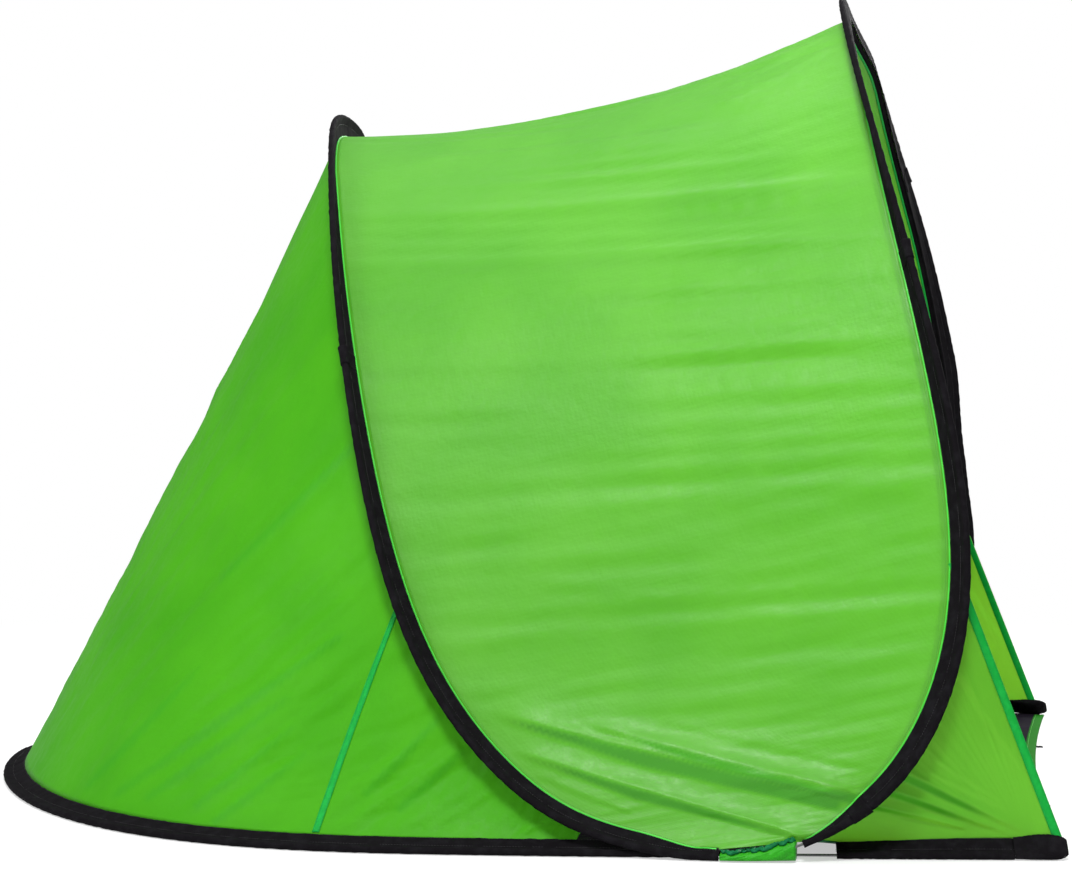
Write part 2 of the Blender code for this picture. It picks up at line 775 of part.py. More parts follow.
def make_wing(front, arm, side, materials):
    """Make the wing from one leg of the front hoop to its floor arm, and the tape on its free edge.

    The leg and the arm are the near ones, or the far ones mirrored to the near side.
    """
    middle = len(front) // 2
    hoop_seam = front.seam(SEAM_SPREAD)[: middle + 1]
    arm_seam = arm.part(1, len(arm) - 1).seam(0.0, POCKET_EXTRA_WIDTH)
    hoop_reach = float(np.interp(WING_TOP_HEIGHT, hoop_seam[:, 2], reach_along(hoop_seam)))
    arm_reach = reach_along(arm_seam)[-1]
    free_top, free_foot = line_between(front, arm, hoop_reach, arm_reach)
    along = unit(free_top - free_foot)
    hoop_lean = np.linalg.norm(np.cross(front.tangent[middle // 2], along))
    arm_lean = np.linalg.norm(np.cross(arm.tangent[-1], along))
    hoop_back = WING_TAPE_WIDTH / hoop_lean
    arm_back = WING_TAPE_WIDTH / arm_lean
    tape_top, tape_foot = line_between(front, arm, hoop_reach - hoop_back, arm_reach - arm_back)
    hoop_end = hoop_reach - hoop_back - WING_TAPE_GAP
    arm_end = arm_reach - arm_back - WING_TAPE_GAP
    last_top, last_foot = line_between(front, arm, hoop_end, arm_end)
    rows = 1 + int(np.sum(reach_along(hoop_seam) < hoop_end - WING_TAPE_WIDTH))
    hoop_edge = np.vstack([hoop_seam[: rows - 1], last_top])
    arm_edge = at_reach(arm_seam, np.linspace(0.0, arm_end, rows))
    arm_edge[-1] = last_foot
    grid = ruled(hoop_edge, arm_edge, WING_COLUMNS)
    share = np.linspace(0.0, 1.0, rows)
    depth = WING_FOLD_DEPTH * np.sin(math.pi * WING_FOLDS * 2.0 * share) * (1.0 - share)
    grid = grid + grid_normals(grid) * (depth[:, None] * belly(WING_COLUMNS)[None, :])[:, :, None]
    lift = unit(np.cross(along, tape_foot - free_foot)) * 0.5 * WING_TAPE_THICKNESS
    raise_foot = along * WING_TAPE_THICKNESS
    foot_section = [tape_foot - lift, free_foot - lift, free_foot + lift, tape_foot + lift]
    sections = [
        [tape_top - lift, free_top - lift, free_top + lift, tape_top + lift],
        [point + raise_foot for point in foot_section],
    ]
    make_object(f"wing_{side}", sheet(on_side(grid, side), PANEL_THICKNESS), materials["lime_canopy"])
    tape = loft(mirror_sections(sections, side))
    make_object(f"wing_tape_{side}", tape, materials["emerald_tape"])


def make_pockets(arm, materials):
    """Make the padded pocket over each end of the floor wire, with the cap on the wire inside it."""
    pocket = arm.part(len(arm) - 3, len(arm) - 1)
    pocket.wire = pocket.wire.copy()
    pocket.wire[0] = pocket.wire[0] + pocket.tangent[0] * GAP
    ahead = pocket.tangent[-1]
    wide = SLEEVE_WIDTH + POCKET_EXTRA_WIDTH
    outline = sleeve_outline(wide, thickness=POCKET_THICKNESS)
    centre = 0.5 * wide
    tip = [(centre + (a - centre) * POCKET_TIP_SCALE, b * POCKET_TIP_SCALE) for a, b in outline]
    bore = circle_outline(CAP_BORE_RADIUS, BORE_SIDES)
    outer = [pocket.section(i, outline) for i in range(3)]
    outer.append([point + ahead * POCKET_TIP_LENGTH for point in pocket.section(2, tip)])
    inner = [pocket.section(i, bore) for i in range(3)]
    cap = pocket.section(2, circle_outline(CAP_RADIUS, BORE_SIDES))
    cap_front = [point - ahead * GAP for point in cap]
    cap_back = [point - ahead * WIRE_CAP_LENGTH for point in cap]
    for side in SIDES:
        body = tube(mirror_sections(outer, side), mirror_sections(inner, side), closed_end=True)
        make_object(f"corner_pocket_{side}", body, materials["black_sleeve"])
        plug = loft(mirror_sections([cap_back, cap_front], side))
        make_object(f"wire_cap_{side}", plug, materials["black_plastic"])


def make_arms(arm, materials):
    """Make each front arm of the floor bow with its sleeve."""
    wire = arm.part(0, len(arm) - 1)
    wire.wire = wire.wire.copy()
    wire.wire[0] = wire.wire[0] + wire.tangent[0] * 0.5 * GAP
    wire.wire[-1] = wire.wire[-1] - wire.tangent[-1] * (WIRE_CAP_LENGTH + GAP)
    sleeve = arm.part(1, len(arm) - 3)
    for side in SIDES:
        make_wire(f"floor_wire_front_{side}", wire, materials["spring_steel"], side)
        make_sleeve(f"floor_sleeve_front_{side}", sleeve, materials["black_sleeve"], side)


def make_sheaths(rear_wire, floor_wire, material):
    """Make the sheath that binds the two wires at each side crossing."""
    wall = WIRE_HEIGHT - WIRE_RADIUS - GAP
    foot = rear_wire[rear_wire[:, 0] > SHEATH_REAR_X - GAP]
    outer, inner = [], []
    for share in np.linspace(0.0, 1.0, 4):
        x = SHEATH_REAR_X + SHEATH_LENGTH * share
        hoop_y, hoop_z = [np.interp(x, foot[::-1, 0], foot[::-1, axis]) for axis in (1, 2)]
        floor_y = np.interp(x, floor_wire[::-1, 0], floor_wire[::-1, 1])
        low_y = hoop_y - SHEATH_SIDE_MARGIN
        high_y = floor_y + SHEATH_SIDE_MARGIN
        top = hoop_z + WIRE_RADIUS + SHEATH_TOP_CLEARANCE + wall
        outer.append(box_outline(x, low_y, high_y, 0.0, top, 0.4 * SHEATH_SIDE_MARGIN))
        inner.append(
            box_outline(x, low_y + wall, high_y - wall, wall, top - wall, 0.2 * SHEATH_SIDE_MARGIN)
        )
    for side in SIDES:
        body = tube(mirror_sections(outer, side), mirror_sections(inner, side))
        make_object(f"side_sheath_{side}", body, material)


def box_outline(x, low_y, high_y, low_z, high_z, corner):
    """Return an eight-sided outline across X, with its upper corners cut more than its lower ones."""
    small = 0.3 * corner
    return [
        (x, low_y + small, low_z),
        (x, high_y - small, low_z),
        (x, high_y, low_z + small),
        (x, high_y, high_z - corner),
        (x, high_y - corner, high_z),
        (x, low_y + corner, high_z),
        (x, low_y, high_z - corner),
        (x, low_y, low_z + small),
    ]


def inset(points, distance):
    """Return a near-side path moved towards the middle of the tent, in plan."""
    moved = []
    for point, tangent in zip(points, tangents(points)):
        inward = np.cross(UP, tangent)
        if np.dot(inward, -point) < 0.0:
            inward = -inward
        moved.append((point + inward * distance)[:2])
    return moved


def hem_line(y, back):
    """Return the hem's front edge at a place across the tent, or a line behind it."""
    share = y / FLOOR_CORNER_HALF_WIDTH
    return FLOOR_CORNER_X - FRONT_EDGE_DEPTH * (1.0 - share * share) - back


def make_groundsheets(floor, arm, material):
    """Make the groundsheet behind the fold line and the one ahead of it."""
    half = len(floor) // 2
    rear_edge = inset(floor.wire[: half + 1], GROUNDSHEET_INSET)
    sheath_y = abs(np.interp(FOLD_X, floor_half()[::-1, 0], floor_half()[::-1, 1]))
    sheath_inner = -(sheath_y - SHEATH_SIDE_MARGIN - GAP)
    fold = [(FOLD_X - 0.5 * GAP, sheath_inner), (SHEATH_REAR_X - GAP, sheath_inner)]
    near = fold + rear_edge
    outline = near + [(x, -y) for x, y in near[-2::-1]]
    make_object("groundsheet_rear", plate(outline, 0.0, GROUNDSHEET_THICKNESS), material)
    arm_edge = inset(arm.wire, GROUNDSHEET_INSET)
    arm_edge[0] = (FOLD_X + 0.5 * GAP, arm_edge[0][1])
    corner_y = abs(arm_edge[-1][1])
    arm_edge[-1] = (hem_line(corner_y, HEM_WIDTH + GAP), arm_edge[-1][1])
    front_edge = []
    for y in np.linspace(-corner_y, corner_y, HEM_STATIONS)[1:-1]:
        front_edge.append((hem_line(y, HEM_WIDTH + GAP), y))
    outline = arm_edge + front_edge + [(x, -y) for x, y in arm_edge[::-1]]
    make_object("groundsheet_front", plate(outline, 0.0, GROUNDSHEET_THICKNESS), material)


def make_hem(arm, materials):
    """Make the hem along the open front edge of the groundsheet, and its two small tabs."""
    reach_y = FLOOR_CORNER_HALF_WIDTH - 2.0 * POCKET_THICKNESS
    sections = []
    for y in np.linspace(-reach_y, reach_y, HEM_STATIONS):
        back, front = hem_line(y, HEM_WIDTH), hem_line(y, 0.0)
        under = [(back, y, 0.0), (front, y, 0.0)]
        sections.append(under + [(front, y, HEM_THICKNESS), (back, y, HEM_THICKNESS)])
    make_object("front_hem", loft(sections), materials["lime_canopy"])
    for side in SIDES:
        low_y, high_y = -HEM_TAB_Y - 0.5 * HEM_TAB_WIDTH, -HEM_TAB_Y + 0.5 * HEM_TAB_WIDTH
        back = max(hem_line(low_y, -GAP), hem_line(high_y, -GAP))
        front = back + HEM_TAB_LENGTH
        round_off = 0.25 * HEM_TAB_WIDTH
        outline = [
            (back, low_y),
            (front - round_off, low_y),
            (front, low_y + round_off),
            (front, high_y - round_off),
            (front - round_off, high_y),
            (back, high_y),
        ]
        heights = (GAP, GAP + HEM_TAB_THICKNESS)
        tab = loft(mirror_sections([[(x, y, z) for x, y in outline] for z in heights], side))
        make_object(f"hem_tab_{side}", tab, materials["black_sleeve"])


def hang_on_fold():
    """Hang every piece ahead of the fold line on an empty that sits on the fold's axis."""
    axis = bpy.data.objects.new("front_fold_axis", None)
    axis.empty_display_size = HEM_WIDTH
    axis.location = (FOLD_X, 0.0, FOLD_Z)
    bpy.context.scene.collection.objects.link(axis)
    for obj in bpy.data.objects:
        if obj.type == "MESH" and obj.name.startswith(FRONT_PIECES):
            obj.parent = axis
            obj.matrix_parent_inverse = Matrix.Translation((-FOLD_X, 0.0, -FOLD_Z))


def main():
    """Clear the scene and build the tent."""
    for obj in list(bpy.data.objects):
        bpy.data.objects.remove(obj, do_unlink=True)
    materials = make_materials()
    sleeve = materials["black_sleeve"]
    steel = materials["spring_steel"]
    lime = materials["lime_canopy"]

    rear_half = rear_loop_half()
    front_half = front_loop_half()
    rear_start = SHEATH_REAR_X - SLEEVE_END_GAP
    rear = hoop_strip(REAR_HOOP, cut_at_x(rear_half, rear_start))
    front = hoop_strip(FRONT_HOOP, cut_at_x(front_half, FOLD_X + BARE_FOOT_LENGTH))
    floor = floor_strip()
    arm = arm_strip()

    make_wire("hoop_wire_rear", with_feet(rear, foot_of(rear_half, rear_start, 6)), steel)
    front_foot = foot_of(front_half, FOLD_X + BARE_FOOT_LENGTH, 1)
    make_wire("hoop_wire_front", with_feet(front, front_foot), steel)
    floor_foot = arm.wire[:1] - arm.tangent[:1] * 0.5 * GAP
    make_wire("floor_wire_rear", with_feet(floor, floor_foot), steel)

    make_sleeve("hoop_sleeve_rear", rear, sleeve)
    make_sleeve("floor_sleeve_rear", floor, sleeve)
    make_tab("sleeve_tab_rear_near", rear, REAR_TAB_HEIGHT, "near", sleeve)
    make_tab("sleeve_tab_rear_far", rear, REAR_TAB_HEIGHT, "far", sleeve)
    make_ferrule("loop_ferrule", rear, FERRULE_HEIGHT, "far", materials["crimp_steel"])
    make_sheaths(rear_half, floor_half(), lime)
    grid, outward = make_rear_panel(rear, floor, lime)
    make_rear_tapes(grid, outward, materials["emerald_tape"])
    make_centre_panel(rear, front, lime)

    make_sleeve("hoop_sleeve_front", front, sleeve)
    make_arms(arm, materials)
    make_pockets(arm, materials)
    make_tab("sleeve_tab_front_near", front, FRONT_NEAR_TAB_HEIGHT, "near", sleeve)
    make_tab("sleeve_tab_front_far", front, FRONT_FAR_TAB_HEIGHT, "far", sleeve)
    make_wing(front, arm, "near", materials)
    make_wing(front.other_side(), arm, "far", materials)
    make_groundsheets(floor, arm, materials["dark_groundsheet"])
    make_hem(arm, materials)
    hang_on_fold()


main()
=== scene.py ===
"""Looks of the pop-up beach tent: cloth, sleeves, tapes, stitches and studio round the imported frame.

X runs from the closed rear to the open front, Y across the tent and Z up, in metres. The near side is -Y.
"""

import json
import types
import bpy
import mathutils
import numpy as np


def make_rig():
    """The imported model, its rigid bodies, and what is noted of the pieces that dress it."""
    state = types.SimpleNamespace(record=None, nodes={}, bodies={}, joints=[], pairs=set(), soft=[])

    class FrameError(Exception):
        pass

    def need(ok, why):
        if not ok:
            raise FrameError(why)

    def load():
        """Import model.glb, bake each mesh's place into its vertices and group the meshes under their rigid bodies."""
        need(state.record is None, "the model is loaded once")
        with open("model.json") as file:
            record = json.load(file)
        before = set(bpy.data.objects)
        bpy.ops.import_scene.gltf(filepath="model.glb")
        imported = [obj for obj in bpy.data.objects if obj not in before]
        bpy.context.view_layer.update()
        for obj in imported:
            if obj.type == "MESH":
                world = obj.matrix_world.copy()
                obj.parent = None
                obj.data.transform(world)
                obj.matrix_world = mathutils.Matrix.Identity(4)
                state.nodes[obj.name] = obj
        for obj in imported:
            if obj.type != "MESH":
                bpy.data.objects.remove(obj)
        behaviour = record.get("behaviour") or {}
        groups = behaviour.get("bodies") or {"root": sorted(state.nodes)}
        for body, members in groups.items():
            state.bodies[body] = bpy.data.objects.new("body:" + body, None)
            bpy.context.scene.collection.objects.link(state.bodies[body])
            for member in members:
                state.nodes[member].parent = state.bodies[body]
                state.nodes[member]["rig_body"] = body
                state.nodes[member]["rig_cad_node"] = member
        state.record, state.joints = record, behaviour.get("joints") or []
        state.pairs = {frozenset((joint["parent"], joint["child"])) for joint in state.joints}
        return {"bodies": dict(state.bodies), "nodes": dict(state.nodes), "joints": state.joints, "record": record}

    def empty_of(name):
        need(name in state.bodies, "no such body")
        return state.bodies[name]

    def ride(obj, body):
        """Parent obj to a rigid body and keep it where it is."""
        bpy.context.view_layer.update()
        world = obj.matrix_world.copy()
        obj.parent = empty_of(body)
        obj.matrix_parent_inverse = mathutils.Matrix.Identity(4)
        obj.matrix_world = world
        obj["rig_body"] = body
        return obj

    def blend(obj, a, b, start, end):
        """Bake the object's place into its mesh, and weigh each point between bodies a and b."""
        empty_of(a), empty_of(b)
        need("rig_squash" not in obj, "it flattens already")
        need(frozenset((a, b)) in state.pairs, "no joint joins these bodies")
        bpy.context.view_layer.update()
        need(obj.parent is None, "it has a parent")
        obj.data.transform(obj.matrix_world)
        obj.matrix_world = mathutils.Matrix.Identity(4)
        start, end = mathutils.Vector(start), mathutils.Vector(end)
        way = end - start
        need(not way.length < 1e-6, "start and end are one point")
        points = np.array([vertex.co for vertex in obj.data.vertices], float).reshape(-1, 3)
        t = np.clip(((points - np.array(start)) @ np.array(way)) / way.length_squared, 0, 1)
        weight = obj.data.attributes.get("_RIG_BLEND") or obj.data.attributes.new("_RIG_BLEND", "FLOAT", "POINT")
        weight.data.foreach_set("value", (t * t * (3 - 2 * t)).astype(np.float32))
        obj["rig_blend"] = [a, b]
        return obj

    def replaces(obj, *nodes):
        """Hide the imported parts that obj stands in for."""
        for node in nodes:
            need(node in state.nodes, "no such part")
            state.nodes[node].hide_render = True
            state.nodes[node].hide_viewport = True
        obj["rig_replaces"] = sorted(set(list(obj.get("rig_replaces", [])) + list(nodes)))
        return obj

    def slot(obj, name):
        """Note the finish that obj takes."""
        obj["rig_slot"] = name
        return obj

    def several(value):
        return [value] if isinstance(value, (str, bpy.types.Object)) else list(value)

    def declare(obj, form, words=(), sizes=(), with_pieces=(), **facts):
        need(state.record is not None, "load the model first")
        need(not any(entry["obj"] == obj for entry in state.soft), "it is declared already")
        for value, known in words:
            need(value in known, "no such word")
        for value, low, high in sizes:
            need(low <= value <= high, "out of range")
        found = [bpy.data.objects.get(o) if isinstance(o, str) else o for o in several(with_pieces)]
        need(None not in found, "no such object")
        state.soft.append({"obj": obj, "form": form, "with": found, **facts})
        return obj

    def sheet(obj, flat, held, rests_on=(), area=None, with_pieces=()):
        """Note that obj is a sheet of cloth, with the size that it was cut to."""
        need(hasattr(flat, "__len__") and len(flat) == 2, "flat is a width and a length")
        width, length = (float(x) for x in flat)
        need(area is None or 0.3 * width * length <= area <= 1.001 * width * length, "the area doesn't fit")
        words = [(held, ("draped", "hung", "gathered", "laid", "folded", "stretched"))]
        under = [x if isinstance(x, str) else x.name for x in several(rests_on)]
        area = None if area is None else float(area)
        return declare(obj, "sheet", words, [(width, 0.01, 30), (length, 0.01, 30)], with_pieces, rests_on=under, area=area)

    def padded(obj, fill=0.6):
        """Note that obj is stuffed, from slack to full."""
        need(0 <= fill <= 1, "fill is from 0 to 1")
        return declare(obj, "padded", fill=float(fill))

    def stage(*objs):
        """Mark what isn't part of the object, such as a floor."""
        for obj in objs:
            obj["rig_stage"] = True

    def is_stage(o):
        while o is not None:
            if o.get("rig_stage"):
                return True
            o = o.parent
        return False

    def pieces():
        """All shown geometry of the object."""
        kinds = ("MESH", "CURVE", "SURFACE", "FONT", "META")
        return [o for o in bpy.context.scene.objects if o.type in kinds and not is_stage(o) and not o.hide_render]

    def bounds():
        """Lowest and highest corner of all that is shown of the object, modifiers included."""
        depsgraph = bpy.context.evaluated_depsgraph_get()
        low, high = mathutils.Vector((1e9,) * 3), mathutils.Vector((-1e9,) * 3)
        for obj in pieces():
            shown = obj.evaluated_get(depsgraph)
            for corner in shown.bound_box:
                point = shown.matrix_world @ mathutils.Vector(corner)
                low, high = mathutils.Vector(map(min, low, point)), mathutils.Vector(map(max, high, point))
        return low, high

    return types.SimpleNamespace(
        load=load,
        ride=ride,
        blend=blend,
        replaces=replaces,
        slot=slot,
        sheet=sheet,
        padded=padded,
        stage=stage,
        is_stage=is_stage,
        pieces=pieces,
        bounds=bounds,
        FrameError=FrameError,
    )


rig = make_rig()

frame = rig.load()
packed_low, packed_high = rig.bounds()

import json
import logging
import math
from collections.abc import Sequence
from dataclasses import dataclass, field
from enum import Enum

import bmesh
import bpy
import numpy as np
from bpy.types import Material, Node, NodeSocket, NodeTree, Object
from mathutils import Vector, noise

logging.basicConfig(level=logging.INFO, format="%(message)s")
log = logging.getLogger("beach_tent")

SIZE_FILE = "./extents.json"
UP = np.array([0.0, 0.0, 1.0])
MIRROR = np.array([1.0, -1.0, 1.0])
REAR_BODY = "rear"
FRONT_BODY = "front"
WAVE_STRETCHES = (0.62, 1.0, 1.47, 2.3)
WAVES_PER_UNIT = 20.0
WHITE = (1.0, 1.0, 1.0, 1.0)
Paths = list[tuple[np.ndarray, np.ndarray]]


class Side(Enum):
    """The two sides of the tent, as the sign of Y."""

    NEAR = -1.0
    FAR = 1.0

    @property
    def label(self) -> str:
        """Return the side's name as pieces carry it."""
        return self.name.lower()

    @property
    def flip(self) -> np.ndarray:
        """Return what a near point is multiplied by to lie on this side."""
        return np.array([1.0, -self.value, 1.0])


# ------------------------------------------------------------------ curves


def unit(vectors: np.ndarray) -> np.ndarray:
    """Return vectors at length one."""
    return vectors / np.maximum(np.linalg.norm(vectors, axis=-1, keepdims=True), 1e-12)


def ease(value: np.ndarray | float) -> np.ndarray | float:
    """Return 0 up to 0, 1 from 1 and an even S curve between."""
    value = np.clip(value, 0.0, 1.0)
    return value * value * (3.0 - 2.0 * value)


def reach_along(points: np.ndarray) -> np.ndarray:
    """Return each point's distance along a polyline."""
    return np.concatenate([[0.0], np.cumsum(np.linalg.norm(np.diff(points, axis=0), axis=1))])


def at_reach(points: np.ndarray, wanted: Sequence[float]) -> np.ndarray:
    """Return the points at the wanted distances along a polyline."""
    reach = reach_along(points)
    return np.stack([np.interp(wanted, reach, points[:, axis]) for axis in range(3)], axis=1)


def resample(points: np.ndarray, count: int) -> np.ndarray:
    """Return count points evenly spaced along a polyline."""
    return at_reach(points, np.linspace(0.0, reach_along(points)[-1], count))


def tangents(points: np.ndarray) -> np.ndarray:
    """Return the unit direction of travel at each point of a polyline."""
    return unit(np.gradient(points, axis=0))


def cut_at_x(points: np.ndarray, x: float) -> np.ndarray:
    """Return a polyline from its first crossing of x onwards."""
    ahead = points[:, 0] > x
    index = int(np.argmax(ahead != ahead[0]))
    before, after = points[index - 1], points[index]
    share = (x - before[0]) / (after[0] - before[0])
    return np.vstack([before + (after - before) * share, points[index:]])


def over_top(half: np.ndarray) -> np.ndarray:
    """Return a near half and its mirror image as one path across the tent."""
    return np.vstack([half, (half * MIRROR)[-2::-1]])


def wander(distance: np.ndarray, length: float, seed: int) -> np.ndarray:
    """Return a smooth irregular wave from -1 to 1.

    Args:
        distance: Where along the piece, in metres.
        length: Typical wave length in metres.
        seed: Which wave.

    Returns:
        The wave at each distance.
    """
    rng = np.random.default_rng(seed)
    total = np.zeros_like(distance)
    for stretch in WAVE_STRETCHES:
        total += np.sin(2.0 * math.pi * distance / (length * stretch) + rng.uniform(0.0, 6.28))
    return total / len(WAVE_STRETCHES)


def waves(distance: np.ndarray, seed: int, *parts: tuple[float, float]) -> np.ndarray:
    """Return a sum of irregular waves, each given by its length and its weight."""
    return sum(weight * wander(distance, length, seed + k) for k, (length, weight) in enumerate(parts))


def crinkle(points: np.ndarray, size: float, seed: int) -> np.ndarray:
    """Return soft noise from -1 to 1 at each point, with features of the given size."""
    shift = Vector((seed * 7.31, seed * 3.17, seed * 1.73))
    levels = [noise.noise(Vector(p) / size + shift) for p in points.reshape(-1, 3)]
    return np.array(levels).reshape(points.shape[:-1])


def squared(wave: np.ndarray, power: float) -> np.ndarray:
    """Return a sine or cosine with fuller shoulders, so that a round outline becomes a rounded box."""
    return np.sign(wave) * np.abs(wave) ** power


def span_shares(columns: int) -> tuple[np.ndarray, np.ndarray]:
    """Return shares from 0 to 1 across a panel, and a swell that is 1 at its middle and 0 at its edges."""
    across = np.linspace(0.0, 1.0, columns)[None, :]
    return across, 4.0 * across * (1.0 - across)


@dataclass(frozen=True)
class Puckers:
    """Short folds that a seam draws in the cloth beside it, in waves of two lengths."""

    depth: float
    lengths: tuple[float, float]
    seed: int
    fade: float
    gain: float

    def depth_at(self, run: np.ndarray, away: np.ndarray) -> np.ndarray:
        """Return how far the cloth moves at each distance along the seam and each share away from it."""
        along = waves(run, self.seed, (self.lengths[0], 0.6), (self.lengths[1], 0.4))
        return self.depth * along[:, None] * np.exp(-(away / self.fade)) * away * self.gain


@dataclass(frozen=True)
class Crease:
    """A tuck as the side view shows it, from its left end (x, z) to its right one.

    The cloth swells softly above the tuck's ridge and drops behind it across a flat face, whose width is
    given at both ends and in the middle.
    """

    start: tuple[float, float]
    end: tuple[float, float]
    depth: float
    widths: tuple[float, float, float]
    soft: float = 0.030

    def measure(self, points: np.ndarray) -> tuple[np.ndarray, np.ndarray, np.ndarray]:
        """Return each point's distance below the ridge, the face's width there and the tuck's strength."""
        (x0, z0), (x1, z1) = self.start, self.end
        length = math.hypot(x1 - x0, z1 - z0)
        dx, dz = (x1 - x0) / length, (z1 - z0) / length
        x, z = points[..., 0] - x0, points[..., 2] - z0
        below = x * dz - z * dx
        share = (x * dx + z * dz) / length
        face = np.interp(share, (0.0, 0.45, 1.0), self.widths)
        fade = ease(share / 0.12) * ease((1.04 - share) / 0.08)
        fade = fade * np.minimum(face / max(self.widths), 1.0) ** 0.5
        return below, face, fade

    def depth_at(self, points: np.ndarray) -> np.ndarray:
        """Return how far the tuck lifts the cloth at each point."""
        below, face, fade = self.measure(points)
        drop = np.clip(1.0 - below / np.maximum(face, 0.002), 0.0, 1.0)
        return self.depth * fade * np.where(below > 0.0, drop, np.exp(below / self.soft))

    def doubled_at(self, points: np.ndarray) -> np.ndarray:
        """Return 1 on the tuck's face, where the finish paints shade and lets less light through, 0 beside it."""
        below, face, fade = self.measure(points)
        wide = ease((face - 0.004) / 0.004) * ease(fade / 0.5)
        return ease((below + 0.003) / 0.006) * ease((face + 0.003 - below) / 0.006) * wide


@dataclass(frozen=True)
class Fan:
    """Folds that spread from one place, (x, z) in the side view, between two distances from it."""

    focus: tuple[float, float]
    spacing: float
    depth: float
    near: float
    far: float
    seed: int

    def depth_at(self, points: np.ndarray) -> np.ndarray:
        """Return how far the folds lift the cloth at each point."""
        x, z = points[..., 0] - self.focus[0], points[..., 2] - self.focus[1]
        away = np.hypot(x, z)
        middle, half = 0.5 * (self.near + self.far), 0.5 * (self.far - self.near)
        fade = np.clip(1.0 - ((away - middle) / half) ** 2, 0.0, 1.0)
        wave = wander(np.arctan2(z, x), self.spacing, self.seed)
        return self.depth * fade * (1.0 - 2.2 * np.abs(wave))


# ------------------------------------------------------------------ the tent's lines, as in the frame


@dataclass(frozen=True)
class Hoop:
    """One hoop of the sprung loop: an arch that leans, with a foot that tucks under or trails out.

    The sleeve lies in the hoop's leaning plane, turned out of it by top_turn at the crown and foot_turn
    at the foot, in radians and forward above zero. The far leg leads the near leg, or trails it.
    """

    height: float
    apex_x: float
    lean: float
    tuck: float
    tightness: float
    kick: float
    kick_tightness: float
    crown: float
    far_lead: float
    far_trail: float
    flare: float
    arch: tuple[float, float]
    top_turn: float
    foot_turn: float
    foot_half_width: float = 0.805
    rest_height: float = 0.0045

    def half(self, count: int = 400) -> np.ndarray:
        """Return the near half of the wire's centre, from the ground up to the apex."""
        rise = np.cos(np.linspace(0.5 * math.pi, 0.0, count))
        fall = 1.0 - rise
        bend, fullness = self.arch
        x = self.apex_x + self.lean * fall + self.crown * rise**14
        x += self.tuck * fall**self.tightness + self.kick * fall**self.kick_tightness
        spread = np.maximum(0.0, 1.0 - rise**bend) ** (1.0 / fullness)
        y = (self.foot_half_width - self.flare) * spread + self.flare * fall**4
        z = np.hypot(rise * (self.height - self.rest_height), self.rest_height)
        return np.stack([x, Side.NEAR.value * y, z], axis=1)

    def far_offset(self, height: np.ndarray) -> np.ndarray:
        """Return how far ahead of the near leg the far leg stands at each height."""
        share = height / self.height
        lead = ease((1.0 - share) / 0.06) * ease((share - 0.45) / 0.30)
        trail = ease((share - 0.22) / 0.14) * ease((0.54 - share) / 0.14)
        return self.far_lead * lead - self.far_trail * trail

    def with_far_leg(self, path: np.ndarray) -> np.ndarray:
        """Return a path over the hoop with its far leg moved to where it stands."""
        path = path.copy()
        path[:, 0] += np.where(path[:, 1] > 0.0, self.far_offset(path[:, 2]), 0.0)
        return path

    def sleeve_aim(self, wire: np.ndarray) -> np.ndarray:
        """Return the direction from the wire to the sleeve's seam at each point of the wire."""
        travel = tangents(wire)
        ahead = np.array([self.height, 0.0, self.lean])
        across = unit(ahead - travel * (travel @ ahead)[:, None])
        inward = np.cross(travel, across)
        fall = np.maximum(1.0 - wire[:, 2] / self.height, 0.075)
        turn = (self.top_turn + (self.foot_turn - self.top_turn) * np.sqrt(fall))[:, None]
        return inward * np.cos(turn) + across * np.sin(turn)


@dataclass(frozen=True)
class FloorBow:
    """The floor wire: round the rear and forward along both sides to the front corners."""

    rear_x: float = -0.763
    corner_x: float = 0.768
    widest_x: float = -0.033
    half_width: float = 0.813
    corner_half_width: float = 0.735
    roundness: float = 2.4
    fullness: float = 1.5
    straightness: float = 1.35
    rest_height: float = 0.0045
    front_sag: float = 0.024

    def half(self) -> np.ndarray:
        """Return the near half of the wire's centre, from the front corner to the rear tip."""
        share = np.linspace(1.0, 0.0, 200)
        side_x = self.widest_x + (self.corner_x - self.widest_x) * share
        side_y = self.half_width - (self.half_width - self.corner_half_width) * share**self.straightness
        turn = np.linspace(0.0, 0.5 * math.pi, 240)[1:]
        rear_x = self.widest_x - (self.widest_x - self.rear_x) * np.sin(turn) ** (2.0 / self.roundness)
        rear_y = self.half_width * np.maximum(0.0, np.cos(turn)) ** (2.0 / self.fullness)
        x, y = np.concatenate([side_x, rear_x]), np.concatenate([side_y, rear_y])
        return np.stack([x, Side.NEAR.value * y, np.full_like(x, self.rest_height)], axis=1)

    def front_edge(self, y: np.ndarray) -> np.ndarray:
        """Return X of the open front edge at places across the tent."""
        return self.corner_x - self.front_sag * (1.0 - (y / self.corner_half_width) ** 2)


